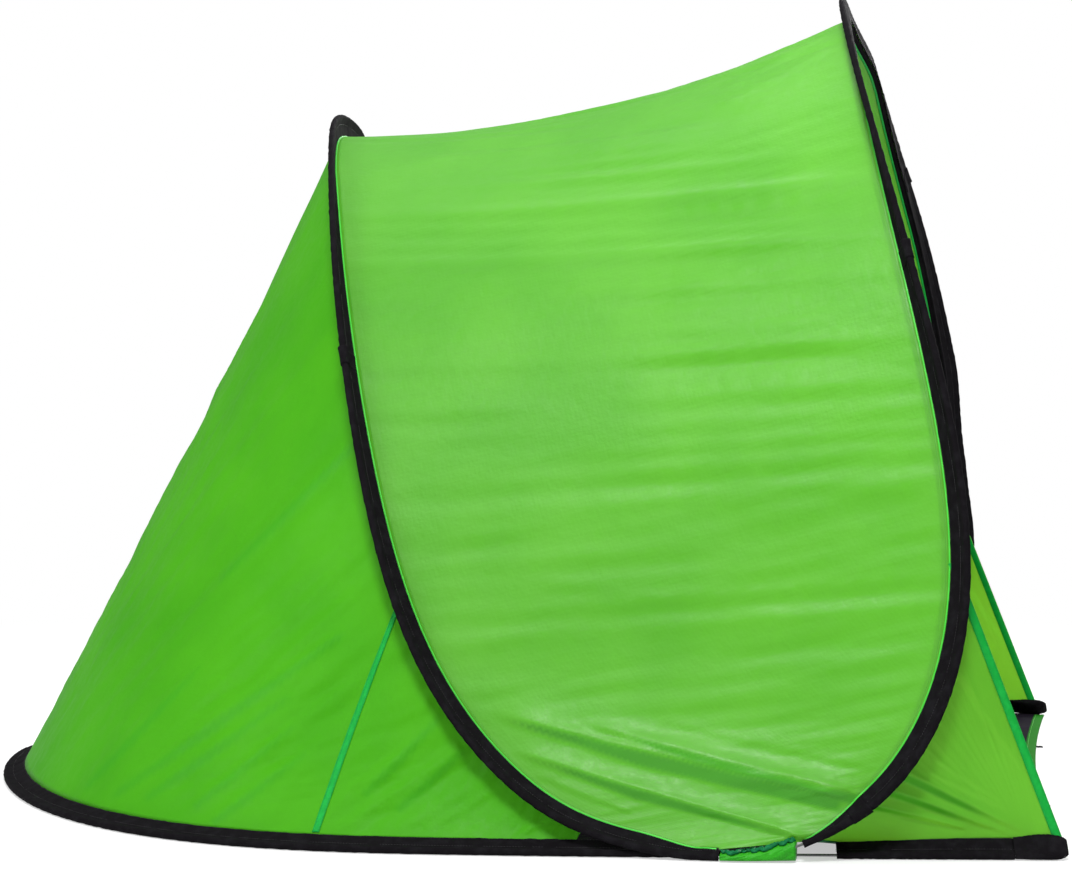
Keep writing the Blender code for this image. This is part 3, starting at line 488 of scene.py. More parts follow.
@dataclass
class Strip:
    """A wire's path and the flat sleeve that hangs from it.

    Attributes:
        wire: Points on the wire's centre.
        along: Unit direction from the wire to the seam.
        across: Unit normal of the sleeve, forward on a hoop and upward on the floor.
        width: Distance from the wire's centre to the seam.
    """

    wire: np.ndarray
    along: np.ndarray
    across: np.ndarray
    width: np.ndarray

    @classmethod
    def aimed(cls, wire: np.ndarray, aim: np.ndarray, width: np.ndarray) -> "Strip":
        """Return a strip whose flat side points along aim, turned square to the wire."""
        travel = tangents(wire)
        along = unit(aim - travel * np.sum(aim * travel, axis=1, keepdims=True))
        return cls(wire, along, np.cross(along, travel), width)

    def place(self, reach_in: np.ndarray | float, offset: np.ndarray | float) -> np.ndarray:
        """Return the line that lies reach_in towards the seam and offset along the normal."""
        inward = np.broadcast_to(np.asarray(reach_in, float), self.width.shape)
        lift = np.broadcast_to(np.asarray(offset, float), self.width.shape)
        return self.wire + self.along * inward[:, None] + self.across * lift[:, None]

    def rings(self, outlines: Sequence[np.ndarray]) -> np.ndarray:
        """Return an outline, as pairs towards the seam and along the normal, set at each station."""
        return np.array([
            centre + flat[:, :1] * along + flat[:, 1:] * across
            for centre, along, across, flat in zip(self.wire, self.along, self.across, outlines)
        ])

    def cut(self, first: int, last: int) -> "Strip":
        """Return the stretch from one station to another."""
        keep = slice(first, last + 1)
        return Strip(self.wire[keep], self.along[keep], self.across[keep], self.width[keep])

    def leg(self, side: Side) -> "Strip":
        """Return one leg of a hoop from its foot up, laid on the near side."""
        middle = len(self) // 2
        if side is Side.NEAR:
            return self.cut(0, middle)
        return Strip(
            self.wire[middle:][::-1] * MIRROR, self.along[middle:][::-1] * MIRROR,
            self.across[middle:][::-1] * MIRROR, self.width[middle:][::-1],
        )

    def mirrored(self) -> "Strip":
        """Return the strip on the other side of the tent, with its normal kept up or forward."""
        return Strip(self.wire * MIRROR, self.along * MIRROR, self.across * MIRROR, self.width)

    def __len__(self) -> int:
        """Return the number of stations."""
        return len(self.wire)


@dataclass(frozen=True)
class TentLines:
    """Every line that the cloth follows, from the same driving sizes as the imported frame."""

    rear_hoop: Hoop = Hoop(
        0.957, -0.243, 0.250, 0.2215, 7.08, 0.109, 49.4, -0.027, -0.030, 0.0, 0.113, (2.2, 1.8), -0.50, 0.70
    )
    front_hoop: Hoop = Hoop(
        1.112, 0.461, 0.337, -0.311, 5.35, -0.0935, 32.7, 0.006, 0.014, 0.014, 0.103, (2.3, 2.1), 0.58, -1.14
    )
    floor: FloorBow = FloorBow()
    fold_x: float = 0.4525
    sheath_length: float = 0.090
    gap: float = 0.0003
    end_gap: float = 0.0010
    sleeve_width: float = 0.031
    foot_width: float = 0.015
    taper: float = 0.11
    front_lead: float = 0.0085
    floor_slope: float = math.radians(24.0)
    arm_slope: float = math.radians(38.0)
    bare_wire: float = 0.047
    pocket_length: float = 0.060
    stations: int = 481

    @property
    def sheath_x(self) -> float:
        """Return X of the rear face of the side sheaths."""
        return self.fold_x - self.gap - self.sheath_length

    def rear_loop_half(self) -> np.ndarray:
        """Return the near half of the loop behind the fold line, up to the rear apex."""
        foot = self.front_hoop.half()
        foot = foot[: int(np.argmax(foot[:, 0] > self.fold_x)) + 1][::-1]
        return np.vstack([cut_at_x(foot, self.fold_x), self.rear_hoop.half()])

    def front_loop_half(self) -> np.ndarray:
        """Return the near half of the loop ahead of the fold line, up to the front apex."""
        return cut_at_x(self.front_hoop.half(), self.fold_x)

    def widths(self, wire: np.ndarray) -> np.ndarray:
        """Return a sleeve's width along a wire, narrowing to its foot at both ends."""
        reach = reach_along(wire)
        share = ease(np.minimum(reach, reach[-1] - reach) / self.taper)
        return self.foot_width + (self.sleeve_width - self.foot_width) * share

    def hoop_strip(self, hoop: Hoop, half: np.ndarray) -> Strip:
        """Return the strip of a hoop's sleeve, whose flat side points into the tent."""
        wire = hoop.with_far_leg(resample(over_top(half), self.stations))
        return Strip.aimed(wire, hoop.sleeve_aim(wire), self.widths(wire))

    def rear_strip(self) -> Strip:
        """Return the strip of the rear hoop's sleeve."""
        return self.hoop_strip(self.rear_hoop, cut_at_x(self.rear_loop_half(), self.sheath_x - self.end_gap))

    def front_strip(self) -> Strip:
        """Return the strip of the front hoop's sleeve."""
        half = cut_at_x(self.front_loop_half(), self.fold_x + self.front_lead)
        return self.hoop_strip(self.front_hoop, half)

    def floor_aim(self, wire: np.ndarray) -> np.ndarray:
        """Return the direction of a floor sleeve: into the tent and up, steeper where the wing pulls it."""
        inward = np.cross(UP, tangents(wire))
        inward = np.where(np.sum(inward * -wire, axis=1, keepdims=True) < 0.0, -inward, inward)
        pulled = ease((wire[:, 0] - self.fold_x - 0.03) / 0.20)
        slope = (self.floor_slope + (self.arm_slope - self.floor_slope) * pulled)[:, None]
        return inward * np.cos(slope) + UP * np.sin(slope)

    def floor_strip(self) -> Strip:
        """Return the strip of the rear floor sleeve, from sheath to sheath."""
        wire = resample(over_top(cut_at_x(self.floor.half(), self.sheath_x - self.gap)), self.stations)
        return Strip.aimed(wire, self.floor_aim(wire), self.widths(wire))

    def arm(self) -> np.ndarray:
        """Return the near front arm of the floor wire, from the fold line to the front corner."""
        half = self.floor.half()
        return np.vstack([cut_at_x(half, self.fold_x)[:1], half[half[:, 0] > self.fold_x][::-1]])

    def arm_strip(self, start: float, end: float, count: int = 90) -> Strip:
        """Return a stretch of the near front arm.

        Args:
            start: Where it starts, as a distance ahead of the fold line.
            end: Where it ends, as a distance short of the front corner.
            count: How many stations it has.

        Returns:
            The strip from the fold line towards the corner.
        """
        arm = self.arm()
        length = reach_along(arm)[-1]
        wire = at_reach(arm, np.linspace(start, length - end, count))
        return Strip.aimed(wire, self.floor_aim(wire), np.full(count, self.sleeve_width))


# ------------------------------------------------------------------ meshes


def mesh_object(name: str, vertices: np.ndarray, faces: list[tuple[int, ...]]) -> Object:
    """Return a smooth-shaded object in the scene from vertices and faces."""
    mesh = bpy.data.meshes.new(name)
    mesh.from_pydata([tuple(v) for v in vertices], [], faces)
    mesh.validate()
    mesh.shade_smooth()
    piece = bpy.data.objects.new(name, mesh)
    bpy.context.scene.collection.objects.link(piece)
    return piece


def outward(piece: Object, sharp: float | None = None) -> Object:
    """Turn a closed piece's faces outwards and mark its edges sharper than an angle in degrees."""
    bm = bmesh.new()
    bm.from_mesh(piece.data)
    bmesh.ops.recalc_face_normals(bm, faces=bm.faces)
    bm.to_mesh(piece.data)
    bm.free()
    if sharp is not None:
        piece.data.set_sharp_from_angle(angle=math.radians(sharp))
    return piece


def loft(name: str, rings: np.ndarray, sharp: float | None = None) -> Object:
    """Return a closed solid through a row of closed outlines, with flat ends.

    Args:
        name: The object's name.
        rings: Points as stations x outline x 3.
        sharp: Edges sharper than this many degrees stay sharp; None keeps all smooth.

    Returns:
        The new object, with a UV map in metres: along the row, and round the outline.
    """
    stations, around = rings.shape[:2]
    faces = []
    for i in range(stations - 1):
        for k in range(around):
            n = (k + 1) % around
            faces.append((i * around + k, i * around + n, (i + 1) * around + n, (i + 1) * around + k))
    faces.append(tuple(range(around)))
    faces.append(tuple(range((stations - 1) * around, stations * around)))
    piece = mesh_object(name, rings.reshape(-1, 3), faces)
    travel = reach_along(rings.mean(axis=1))
    girth = reach_along(np.vstack([rings[stations // 2], rings[stations // 2, :1]]))[:-1]
    coordinates = np.stack(np.meshgrid(travel, girth, indexing="ij"), axis=2).reshape(-1, 2)
    add_map(piece, coordinates)
    return outward(piece, sharp)


def add_map(piece: Object, coordinates: np.ndarray) -> None:
    """Give a piece a UV map in metres from one pair of coordinates per vertex."""
    layer = piece.data.uv_layers.new(name="cloth")
    corners = np.zeros(len(piece.data.loops), dtype=np.int32)
    piece.data.loops.foreach_get("vertex_index", corners)
    layer.data.foreach_set("uv", coordinates[corners].astype(np.float32).ravel())


def grid_normals(grid: np.ndarray) -> np.ndarray:
    """Return a unit normal at every point of a grid."""
    return unit(np.cross(np.gradient(grid, axis=0), np.gradient(grid, axis=1)))


def cloth_sheet(name: str, grid: np.ndarray, thickness: float = 0.0004) -> Object:
    """Make a thin closed sheet of cloth.

    Args:
        name: The object's name.
        grid: Points on the cloth's middle, as rows x columns x 3.
        thickness: The cloth's thickness.

    Returns:
        The new object, with a UV map in metres.
    """
    rows, columns = grid.shape[:2]
    shift = grid_normals(grid) * 0.5 * thickness
    vertices = np.concatenate([(grid + shift).reshape(-1, 3), (grid - shift).reshape(-1, 3)])
    under = rows * columns
    faces = []
    for i in range(rows - 1):
        for j in range(columns - 1):
            a, b = i * columns + j, (i + 1) * columns + j
            faces.append((a, b, b + 1, a + 1))
            faces.append((under + a, under + a + 1, under + b + 1, under + b))
    index = np.arange(under).reshape(rows, columns)
    rim = np.concatenate([index[:, 0], index[-1, 1:], index[-2::-1, -1], index[0, -2:0:-1]]).tolist()
    for k, a in enumerate(rim):
        b = rim[(k + 1) % len(rim)]
        faces.append((a, under + a, under + b, b))
    piece = mesh_object(name, vertices, faces)
    along = np.cumsum(np.linalg.norm(np.diff(grid, axis=0, prepend=grid[:1]), axis=2).mean(axis=1))
    across = np.cumsum(np.linalg.norm(np.diff(grid, axis=1, prepend=grid[:, :1]), axis=2), axis=1)
    flat = np.stack([np.broadcast_to(along[:, None], across.shape), across], axis=2).reshape(-1, 2)
    add_map(piece, np.concatenate([flat, flat]))
    return outward(piece)


def bend(piece: Object, start_x: float, end_x: float, weights: np.ndarray | None = None) -> None:
    """Let a piece follow the rear body behind one X and the front body ahead of another.

    Args:
        piece: The finished piece.
        start_x: Where the change starts.
        end_x: Where it ends.
        weights: How far each vertex follows the front body, from 0 to 1, or None to go by X.
    """
    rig.blend(piece, REAR_BODY, FRONT_BODY, (start_x, 0.0, 0.0), (end_x, 0.0, 0.0))
    if weights is not None:
        piece.data.attributes["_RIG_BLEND"].data.foreach_set("value", weights.astype(np.float32))
    log.info("piece %s bends from %s to %s", piece.name, REAR_BODY, FRONT_BODY)


def positions(piece: Object) -> np.ndarray:
    """Return a piece's vertices as an array."""
    flat = np.zeros(3 * len(piece.data.vertices), dtype=np.float32)
    piece.data.vertices.foreach_get("co", flat)
    return flat.reshape(-1, 3).astype(float)


def grid_area(grid: np.ndarray) -> float:
    """Return the area of a grid of points."""
    a, b = np.diff(grid, axis=0)[:, :-1], np.diff(grid, axis=1)[:-1]
    return float(np.linalg.norm(np.cross(a, b), axis=2).sum())


def mark_tucks(piece: Object, grid: np.ndarray, tucks: Sequence[Crease], share: float = 1.0) -> None:
    """Note on a sheet's points where its tucks are, for the cloth's finish to paint shade there and let less light
    through.
    """
    doubled = share * np.max([tuck.doubled_at(grid) for tuck in tucks], axis=0).ravel()
    noted = piece.data.attributes.new("doubled", "FLOAT", "POINT")
    noted.data.foreach_set("value", np.concatenate([doubled, doubled]).astype(np.float32))


def declare_cloth(piece: Object, grid: np.ndarray, held: str, rests_on: list[str]) -> None:
    """Declare a piece as a sheet of cloth, with the flat size and the area of its own grid."""
    area = grid_area(grid)
    length = max(reach_along(grid[:, j])[-1] for j in range(0, grid.shape[1], 4))
    width = max(reach_along(grid[i])[-1] for i in range(0, grid.shape[0], 4))
    width = min(max(width, area / length), 2.0 * area / length)
    area = min(area, 0.999 * length * width)
    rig.sheet(piece, flat=(width, length), held=held, rests_on=rests_on, area=area)


# ------------------------------------------------------------------ finishes


def linear(code: str) -> tuple[float, float, float, float]:
    """Return an sRGB hex colour as linear red, green, blue and alpha."""
    parts = [int(code[k : k + 2], 16) / 255.0 for k in (1, 3, 5)]
    red, green, blue = [c / 12.92 if c <= 0.04045 else ((c + 0.055) / 1.055) ** 2.4 for c in parts]
    return red, green, blue, 1.0


def add_node(
    tree: NodeTree, kind: str, inputs: dict[str | int, object] | None = None, **settings: object
) -> Node:
    """Add a node with its settings, and set or link its inputs.

    Args:
        tree: The node tree.
        kind: Blender's name for the node type.
        inputs: Value or output socket for each input, by name or number.
        settings: The node's own properties.

    Returns:
        The new node.
    """
    node = tree.nodes.new(kind)
    for name, value in settings.items():
        setattr(node, name, value)
    for key, value in (inputs or {}).items():
        if isinstance(value, NodeSocket):
            tree.links.new(value, node.inputs[key])
        else:
            node.inputs[key].default_value = value
    return node


def new_material(name: str) -> tuple[Material, NodeTree, NodeSocket]:
    """Return an empty node material, its tree, and the piece's own coordinates in it."""
    material = bpy.data.materials.new(name)
    material.use_nodes = True
    tree = material.node_tree
    tree.nodes.clear()
    return material, tree, add_node(tree, "ShaderNodeTexCoord").outputs["Object"]


def weave(tree: NodeTree, thread_mm: float, distortion: float, operation: str) -> NodeSocket:
    """Lay warp and weft threads over a cloth's own map.

    Args:
        tree: The material's node tree.
        thread_mm: Width of a thread.
        distortion: How unevenly the threads run.
        operation: How warp and weft are put together.

    Returns:
        The height of the weave.
    """
    place = add_node(tree, "ShaderNodeUVMap", uv_map="cloth").outputs["UV"]
    scale = 1000.0 / thread_mm / WAVES_PER_UNIT
    inputs = {"Vector": place, "Scale": scale, "Distortion": distortion, "Detail": 1.0}
    warp, weft = [
        add_node(tree, "ShaderNodeTexWave", inputs, wave_type="BANDS", bands_direction=way).outputs["Fac"]
        for way in ("X", "Y")
    ]
    return add_node(tree, "ShaderNodeMath", {0: warp, 1: weft}, operation=operation).outputs[0]


@dataclass(frozen=True)
class Taffeta:
    """Plain woven polyester taffeta: smooth, slightly glossy and thin enough to let light through."""

    name: str
    colour: str
    deep_colour: str
    glow_colour: str
    glow: float = 0.35
    roughness: float = 0.46
    sheen: float = 0.15
    gloss: float = 0.4
    thread_mm: float = 0.9
    crinkle_mm: float = 14.0
    bump: float = 0.35
    # Painted shade: the colour that the tucks' faces take.
    double_colour: str = "#3C980C"
    double_glow: float = 0.3

    def material(self) -> Material:
        """Return the cloth's material.

        The weave is drawn at 0.9 mm a thread, coarser than the real 0.2 mm, so that it shows at all. Where
        the mesh's own attribute marks a tuck, painted shade darkens the colour, and the cloth lets less light
        through.
        """
        made, tree, solid = new_material(self.name)
        threads = weave(tree, self.thread_mm, 0.4, "ADD")
        rumple = add_node(tree, "ShaderNodeTexNoise", {
            "Vector": solid, "Scale": 1000.0 / self.crinkle_mm, "Detail": 3.0, "Roughness": 0.55,
        }).outputs["Fac"]
        wide = add_node(tree, "ShaderNodeTexNoise", {"Vector": solid, "Scale": 6.0, "Detail": 2.0})
        tone = add_node(tree, "ShaderNodeMapRange", {
            "Value": wide.outputs["Fac"], "From Min": 0.35, "From Max": 0.65,
        })
        single = add_node(tree, "ShaderNodeMix", {
            0: tone.outputs["Result"], 6: linear(self.colour), 7: linear(self.deep_colour),
        }, data_type="RGBA")
        # Painted shade on the tucks: a darker colour, and less light let through.
        doubled = add_node(tree, "ShaderNodeAttribute", attribute_name="doubled").outputs["Fac"]
        shade = add_node(tree, "ShaderNodeMix", {
            0: doubled, 6: single.outputs[2], 7: linear(self.double_colour),
        }, data_type="RGBA")
        through = add_node(tree, "ShaderNodeMapRange", {
            "Value": doubled, "To Min": self.glow, "To Max": self.double_glow * self.glow,
        })
        fine = add_node(tree, "ShaderNodeBump", {
            "Height": threads, "Strength": self.bump * 0.5, "Distance": 0.0001,
        })
        soft = add_node(tree, "ShaderNodeBump", {
            "Height": rumple, "Strength": self.bump, "Distance": 0.0014, "Normal": fine.outputs["Normal"],
        }).outputs["Normal"]
        gloss = add_node(tree, "ShaderNodeMapRange", {
            "Value": rumple, "From Min": 0.3, "From Max": 0.7,
            "To Min": self.roughness - 0.05, "To Max": self.roughness + 0.08,
        })
        cloth = add_node(tree, "ShaderNodeBsdfPrincipled", {
            "Base Color": shade.outputs[2], "Roughness": gloss.outputs["Result"], "Normal": soft,
            "Sheen Weight": self.sheen, "Sheen Roughness": 0.4, "Specular IOR Level": self.gloss,
        })
        glow = add_node(tree, "ShaderNodeBsdfTranslucent", {
            "Color": linear(self.glow_colour), "Normal": soft,
        })
        both = add_node(tree, "ShaderNodeMixShader", {
            0: through.outputs["Result"], 1: cloth.outputs["BSDF"], 2: glow.outputs["BSDF"],
        })
        add_node(tree, "ShaderNodeOutputMaterial", {"Surface": both.outputs["Shader"]})
        return made


@dataclass(frozen=True)
class OpaqueCloth:
    """A heavier woven cloth that lets no light through, such as sleeve polyester or coated sheet."""

    name: str
    colour: str
    worn_colour: str
    roughness: float = 0.55
    sheen: float = 0.3
    gloss: float = 0.3
    thread_mm: float = 1.1
    crinkle_mm: float = 9.0
    bump: float = 0.5

    def material(self) -> Material:
        """Return the cloth's material, with its weave drawn coarser than the real 0.4 mm."""
        made, tree, solid = new_material(self.name)
        threads = weave(tree, self.thread_mm, 0.6, "MULTIPLY")
        rumple = add_node(tree, "ShaderNodeTexNoise", {
            "Vector": solid, "Scale": 1000.0 / self.crinkle_mm, "Detail": 3.0, "Roughness": 0.6,
        }).outputs["Fac"]
        tone = add_node(tree, "ShaderNodeMapRange", {"Value": rumple, "From Min": 0.45, "From Max": 0.75})
        shade = add_node(tree, "ShaderNodeMix", {
            0: tone.outputs["Result"], 6: linear(self.colour), 7: linear(self.worn_colour),
        }, data_type="RGBA")
        fine = add_node(tree, "ShaderNodeBump", {
            "Height": threads, "Strength": self.bump, "Distance": 0.00015,
        })
        soft = add_node(tree, "ShaderNodeBump", {
            "Height": rumple, "Strength": self.bump, "Distance": 0.0012, "Normal": fine.outputs["Normal"],
        })
        gloss = add_node(tree, "ShaderNodeMapRange", {
            "Value": rumple, "From Min": 0.3, "From Max": 0.7,
            "To Min": self.roughness - 0.08, "To Max": self.roughness + 0.1,
        })
        cloth = add_node(tree, "ShaderNodeBsdfPrincipled", {
            "Base Color": shade.outputs[2], "Roughness": gloss.outputs["Result"],
            "Sheen Weight": self.sheen, "Sheen Roughness": 0.45, "Specular IOR Level": self.gloss,
            "Normal": soft.outputs["Normal"],
        })
        add_node(tree, "ShaderNodeOutputMaterial", {"Surface": cloth.outputs["BSDF"]})
        return made


@dataclass(frozen=True)
class DrawnMetal:
    """Drawn or crimped steel, whose shine is broken up by a thin, uneven film of oil."""

    name: str
    colour: str
    roughness: float = 0.32

    def material(self) -> Material:
        """Return the metal's material."""
        made, tree, solid = new_material(self.name)
        film = add_node(tree, "ShaderNodeTexNoise", {"Vector": solid, "Scale": 180.0, "Detail": 3.0})
        gloss = add_node(tree, "ShaderNodeMapRange", {
            "Value": film.outputs["Fac"], "From Min": 0.3, "From Max": 0.7,
            "To Min": self.roughness - 0.08, "To Max": self.roughness + 0.12,
        })
        bump = add_node(tree, "ShaderNodeBump", {
            "Height": film.outputs["Fac"], "Strength": 0.2, "Distance": 0.0001,
        })
        metal = add_node(tree, "ShaderNodeBsdfPrincipled", {
            "Base Color": linear(self.colour), "Metallic": 1.0,
            "Roughness": gloss.outputs["Result"], "Normal": bump.outputs["Normal"],
        })
        add_node(tree, "ShaderNodeOutputMaterial", {"Surface": metal.outputs["BSDF"]})
        return made


@dataclass(frozen=True)
class MouldedPlastic:
    """Injection-moulded plastic, or polyester sewing thread, with a fine even grain."""

    name: str
    colour: str
    roughness: float = 0.5
    grain_mm: float = 1.0

    def material(self) -> Material:
        """Return the plastic's material."""
        made, tree, solid = new_material(self.name)
        grain = add_node(tree, "ShaderNodeTexNoise", {
            "Vector": solid, "Scale": 1000.0 / self.grain_mm, "Detail": 2.0,
        })
        gloss = add_node(tree, "ShaderNodeMapRange", {
            "Value": grain.outputs["Fac"], "To Min": self.roughness - 0.1, "To Max": self.roughness + 0.1,
        })
        bump = add_node(tree, "ShaderNodeBump", {
            "Height": grain.outputs["Fac"], "Strength": 0.25, "Distance": 0.0001,
        })
        plastic = add_node(tree, "ShaderNodeBsdfPrincipled", {
            "Base Color": linear(self.colour), "Roughness": gloss.outputs["Result"],
            "Normal": bump.outputs["Normal"],
        })
        add_node(tree, "ShaderNodeOutputMaterial", {"Surface": plastic.outputs["BSDF"]})
        return made


class Palette:
    """Every finish of the tent, made once."""

    def __init__(self) -> None:
        """Make the materials."""
        # The canopy, rear wall and wings are one lime taffeta, coloured apart as painted light and shade: the canopy
        # paler where the lamps light it from above; the rear wall darker and deeper, with a darker glow and tuck
        # colour, as painted shade where it faces away from the lamps; and the wings paler, with a paler glow, as
        # painted light.
        self.canopy = Taffeta(
            "canopy_taffeta", "#60B42B", "#56AB24", "#B0EE46", glow=0.36, sheen=0.05, gloss=0.48,
            roughness=0.45,
        ).material()
        self.wall = Taffeta(
            "wall_taffeta", "#4CAE10", "#44A50E", "#5CC41A", glow=0.25, sheen=0.0, gloss=0.16, roughness=0.5,
            double_colour="#228C1E",
        ).material()
        self.wing = Taffeta(
            "wing_taffeta", "#64B834", "#5AAE2C", "#C4EC78", glow=0.48, sheen=0.0, gloss=0.25
        ).material()
        self.sheath = Taffeta(
            "sheath_taffeta", "#2FA41C", "#178014", "#3FB02C", glow=0.12, sheen=0.0, gloss=0.2,
            crinkle_mm=7.0, bump=1.6,
        ).material()
        self.piping = OpaqueCloth(
            "piping_cord", "#3FC434", "#4FCC3C", roughness=0.45, sheen=0.0, bump=0.2
        ).material()
        self.tape = OpaqueCloth("emerald_tape_weave", "#0B9634", "#14A43E", sheen=0.0, gloss=0.15).material()
        self.hem = OpaqueCloth("dark_hem_weave", "#0A6238", "#107344", sheen=0.0, gloss=0.12).material()
        self.hem_cloth = OpaqueCloth(
            "folded_hem_taffeta", "#1A6413", "#216E18", roughness=0.9, sheen=0.0, gloss=0.05, bump=0.3
        ).material()
        self.sleeve = OpaqueCloth(
            "sleeve_polyester", "#110F12", "#1B1A1D", roughness=0.9, sheen=0.0, gloss=0.04, crinkle_mm=14.0,
            bump=0.3,
        ).material()
        self.groundsheet = OpaqueCloth(
            "coated_groundsheet", "#1A161F", "#231E28", roughness=1.0, sheen=0.0, gloss=0.02, crinkle_mm=30.0
        ).material()
        self.steel = DrawnMetal("drawn_spring_steel", "#6A6A6C").material()
        self.crimp = DrawnMetal("crimped_steel", "#A8A9AB").material()
        self.plastic = MouldedPlastic("moulded_cap", "#1C1C1D").material()
        self.green_thread = MouldedPlastic("green_thread", "#4AA22C", 0.6).material()
        self.tape_thread = MouldedPlastic("tape_thread", "#0B7A34", 0.6).material()
        self.black_thread = MouldedPlastic("black_thread", "#222024", 0.6).material()


def dress(piece: Object, material: Material, slot: str, body: str) -> Object:
    """Give a piece its material, its record slot and the body that it rides on."""
    piece.data.materials.clear()
    piece.data.materials.append(material)
    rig.slot(piece, slot)
    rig.ride(piece, body)
    log.info("piece %s on %s", piece.name, body)
    return piece


# ------------------------------------------------------------------ sewing


class SewingMachine:
    """Geometry Nodes that run a row of stitches, or a round wire, along a path."""

    def __init__(self) -> None:
        """Build the two node trees."""
        self.stitch_tree = self._stitches()
        self.wire_tree = self._wire()

    @staticmethod
    def _tree(name: str, sizes: dict[str, float]) -> tuple[NodeTree, Node]:
        """Return a geometry tree with named size inputs and a material input, and its input node."""
        tree = bpy.data.node_groups.new(name, "GeometryNodeTree")
        tree.interface.new_socket("Path", in_out="INPUT", socket_type="NodeSocketGeometry")
        for label, value in sizes.items():
            socket = tree.interface.new_socket(label, in_out="INPUT", socket_type="NodeSocketFloat")
            socket.default_value = value
        tree.interface.new_socket("Finish", in_out="INPUT", socket_type="NodeSocketMaterial")
        tree.interface.new_socket("Geometry", in_out="OUTPUT", socket_type="NodeSocketGeometry")
        return tree, tree.nodes.new("NodeGroupInput")

    def _stitches(self) -> NodeTree:
        """Return the tree that lays flattened beads of thread along a path, facing its normals."""
        tree, given = self._tree("stitch_row", {"Pitch": 0.0035, "Length": 0.0026, "Thread": 0.0006})
        line = add_node(tree, "GeometryNodeMeshToCurve", {"Mesh": given.outputs["Path"]})
        spaced = add_node(tree, "GeometryNodeResampleCurve", {
            "Curve": line.outputs["Curve"], "Length": given.outputs["Pitch"],
        }, mode="LENGTH")
        bead = add_node(tree, "GeometryNodeMeshUVSphere", {"Segments": 6, "Rings": 4, "Radius": 0.5})
        facing = add_node(tree, "GeometryNodeInputNamedAttribute", {
            "Name": "facing",
        }, data_type="FLOAT_VECTOR")
        travel = add_node(tree, "GeometryNodeInputTangent")
        upright = add_node(tree, "FunctionNodeAlignRotationToVector", {
            "Vector": facing.outputs["Attribute"],
        }, axis="Z")
        turned = add_node(tree, "FunctionNodeAlignRotationToVector", {
            "Rotation": upright.outputs["Rotation"], "Vector": travel.outputs["Tangent"],
        }, axis="X", pivot_axis="Z")
        size = add_node(tree, "ShaderNodeCombineXYZ", {
            "X": given.outputs["Length"], "Y": given.outputs["Thread"], "Z": given.outputs["Thread"],
        })
        laid = add_node(tree, "GeometryNodeInstanceOnPoints", {
            "Points": spaced.outputs["Curve"], "Instance": bead.outputs["Mesh"],
            "Rotation": turned.outputs["Rotation"], "Scale": size.outputs["Vector"],
        })
        self._close(tree, given, laid.outputs["Instances"])
        return tree

    def _wire(self) -> NodeTree:
        """Return the tree that draws a round wire along a path."""
        tree, given = self._tree("drawn_wire", {"Radius": 0.0016})
        line = add_node(tree, "GeometryNodeMeshToCurve", {"Mesh": given.outputs["Path"]})
        ring = add_node(tree, "GeometryNodeCurvePrimitiveCircle", {
            "Resolution": 12, "Radius": given.outputs["Radius"],
        })
        swept = add_node(tree, "GeometryNodeCurveToMesh", {
            "Curve": line.outputs["Curve"], "Profile Curve": ring.outputs["Curve"], "Fill Caps": True,
        })
        smooth = add_node(tree, "GeometryNodeSetShadeSmooth", {"Geometry": swept.outputs["Mesh"]})
        self._close(tree, given, smooth.outputs["Geometry"])
        return tree

    @staticmethod
    def _close(tree: NodeTree, given: Node, shape: NodeSocket) -> None:
        """End a tree in real geometry with its finish."""
        real = add_node(tree, "GeometryNodeRealizeInstances", {"Geometry": shape})
        finished = add_node(tree, "GeometryNodeSetMaterial", {
            "Geometry": real.outputs["Geometry"], "Material": given.outputs["Finish"],
        })
        add_node(tree, "NodeGroupOutput", {"Geometry": finished.outputs["Geometry"]})

    @staticmethod
    def _run(
        name: str, tree: NodeTree, paths: Paths, inputs: dict[str, object]
    ) -> Object:
        """Run a tree along paths with their normals, and return the plain mesh that it makes."""
        points = np.concatenate([path for path, _ in paths])
        facing = np.concatenate([normals for _, normals in paths])
        edges, start = [], 0
        for path, _ in paths:
            edges += [(start + k, start + k + 1) for k in range(len(path) - 1)]
            start += len(path)
        guide_mesh = bpy.data.meshes.new(f"{name}_path")
        guide_mesh.from_pydata([tuple(p) for p in points], edges, [])
        normals = guide_mesh.attributes.new("facing", "FLOAT_VECTOR", "POINT")
        normals.data.foreach_set("vector", facing.astype(np.float32).ravel())
        guide = bpy.data.objects.new(f"{name}_path", guide_mesh)
        bpy.context.scene.collection.objects.link(guide)
        modifier = guide.modifiers.new("machine", "NODES")
        modifier.node_group = tree
        for item in tree.interface.items_tree:
            if item.in_out == "INPUT" and item.name in inputs:
                modifier[item.identifier] = inputs[item.name]
        graph = bpy.context.evaluated_depsgraph_get()
        made = bpy.data.meshes.new_from_object(guide.evaluated_get(graph))
        guide.modifiers.remove(modifier)
        bpy.data.objects.remove(guide, do_unlink=True)
        made.name = name
        piece = bpy.data.objects.new(name, made)
        bpy.context.scene.collection.objects.link(piece)
        return piece

    def stitch(
        self, name: str, paths: Paths, thread: Material, slot: str, body: str, pitch: float = 0.0035
    ) -> Object:
        """Return rows of stitches along paths, each a pair of points and surface normals."""
        sizes = {"Pitch": pitch, "Length": 0.76 * pitch, "Thread": 0.0006, "Finish": thread}
        piece = self._run(name, self.stitch_tree, paths, sizes)
        return dress(piece, thread, slot, body)

    def wire(self, name: str, path: np.ndarray, radius: float, metal: Material) -> Object:
        """Return a round wire along a path."""
        facing = np.broadcast_to(UP, path.shape)
        return self._run(name, self.wire_tree, [(path, facing)], {"Radius": radius, "Finish": metal})


# ------------------------------------------------------------------ sub-assemblies


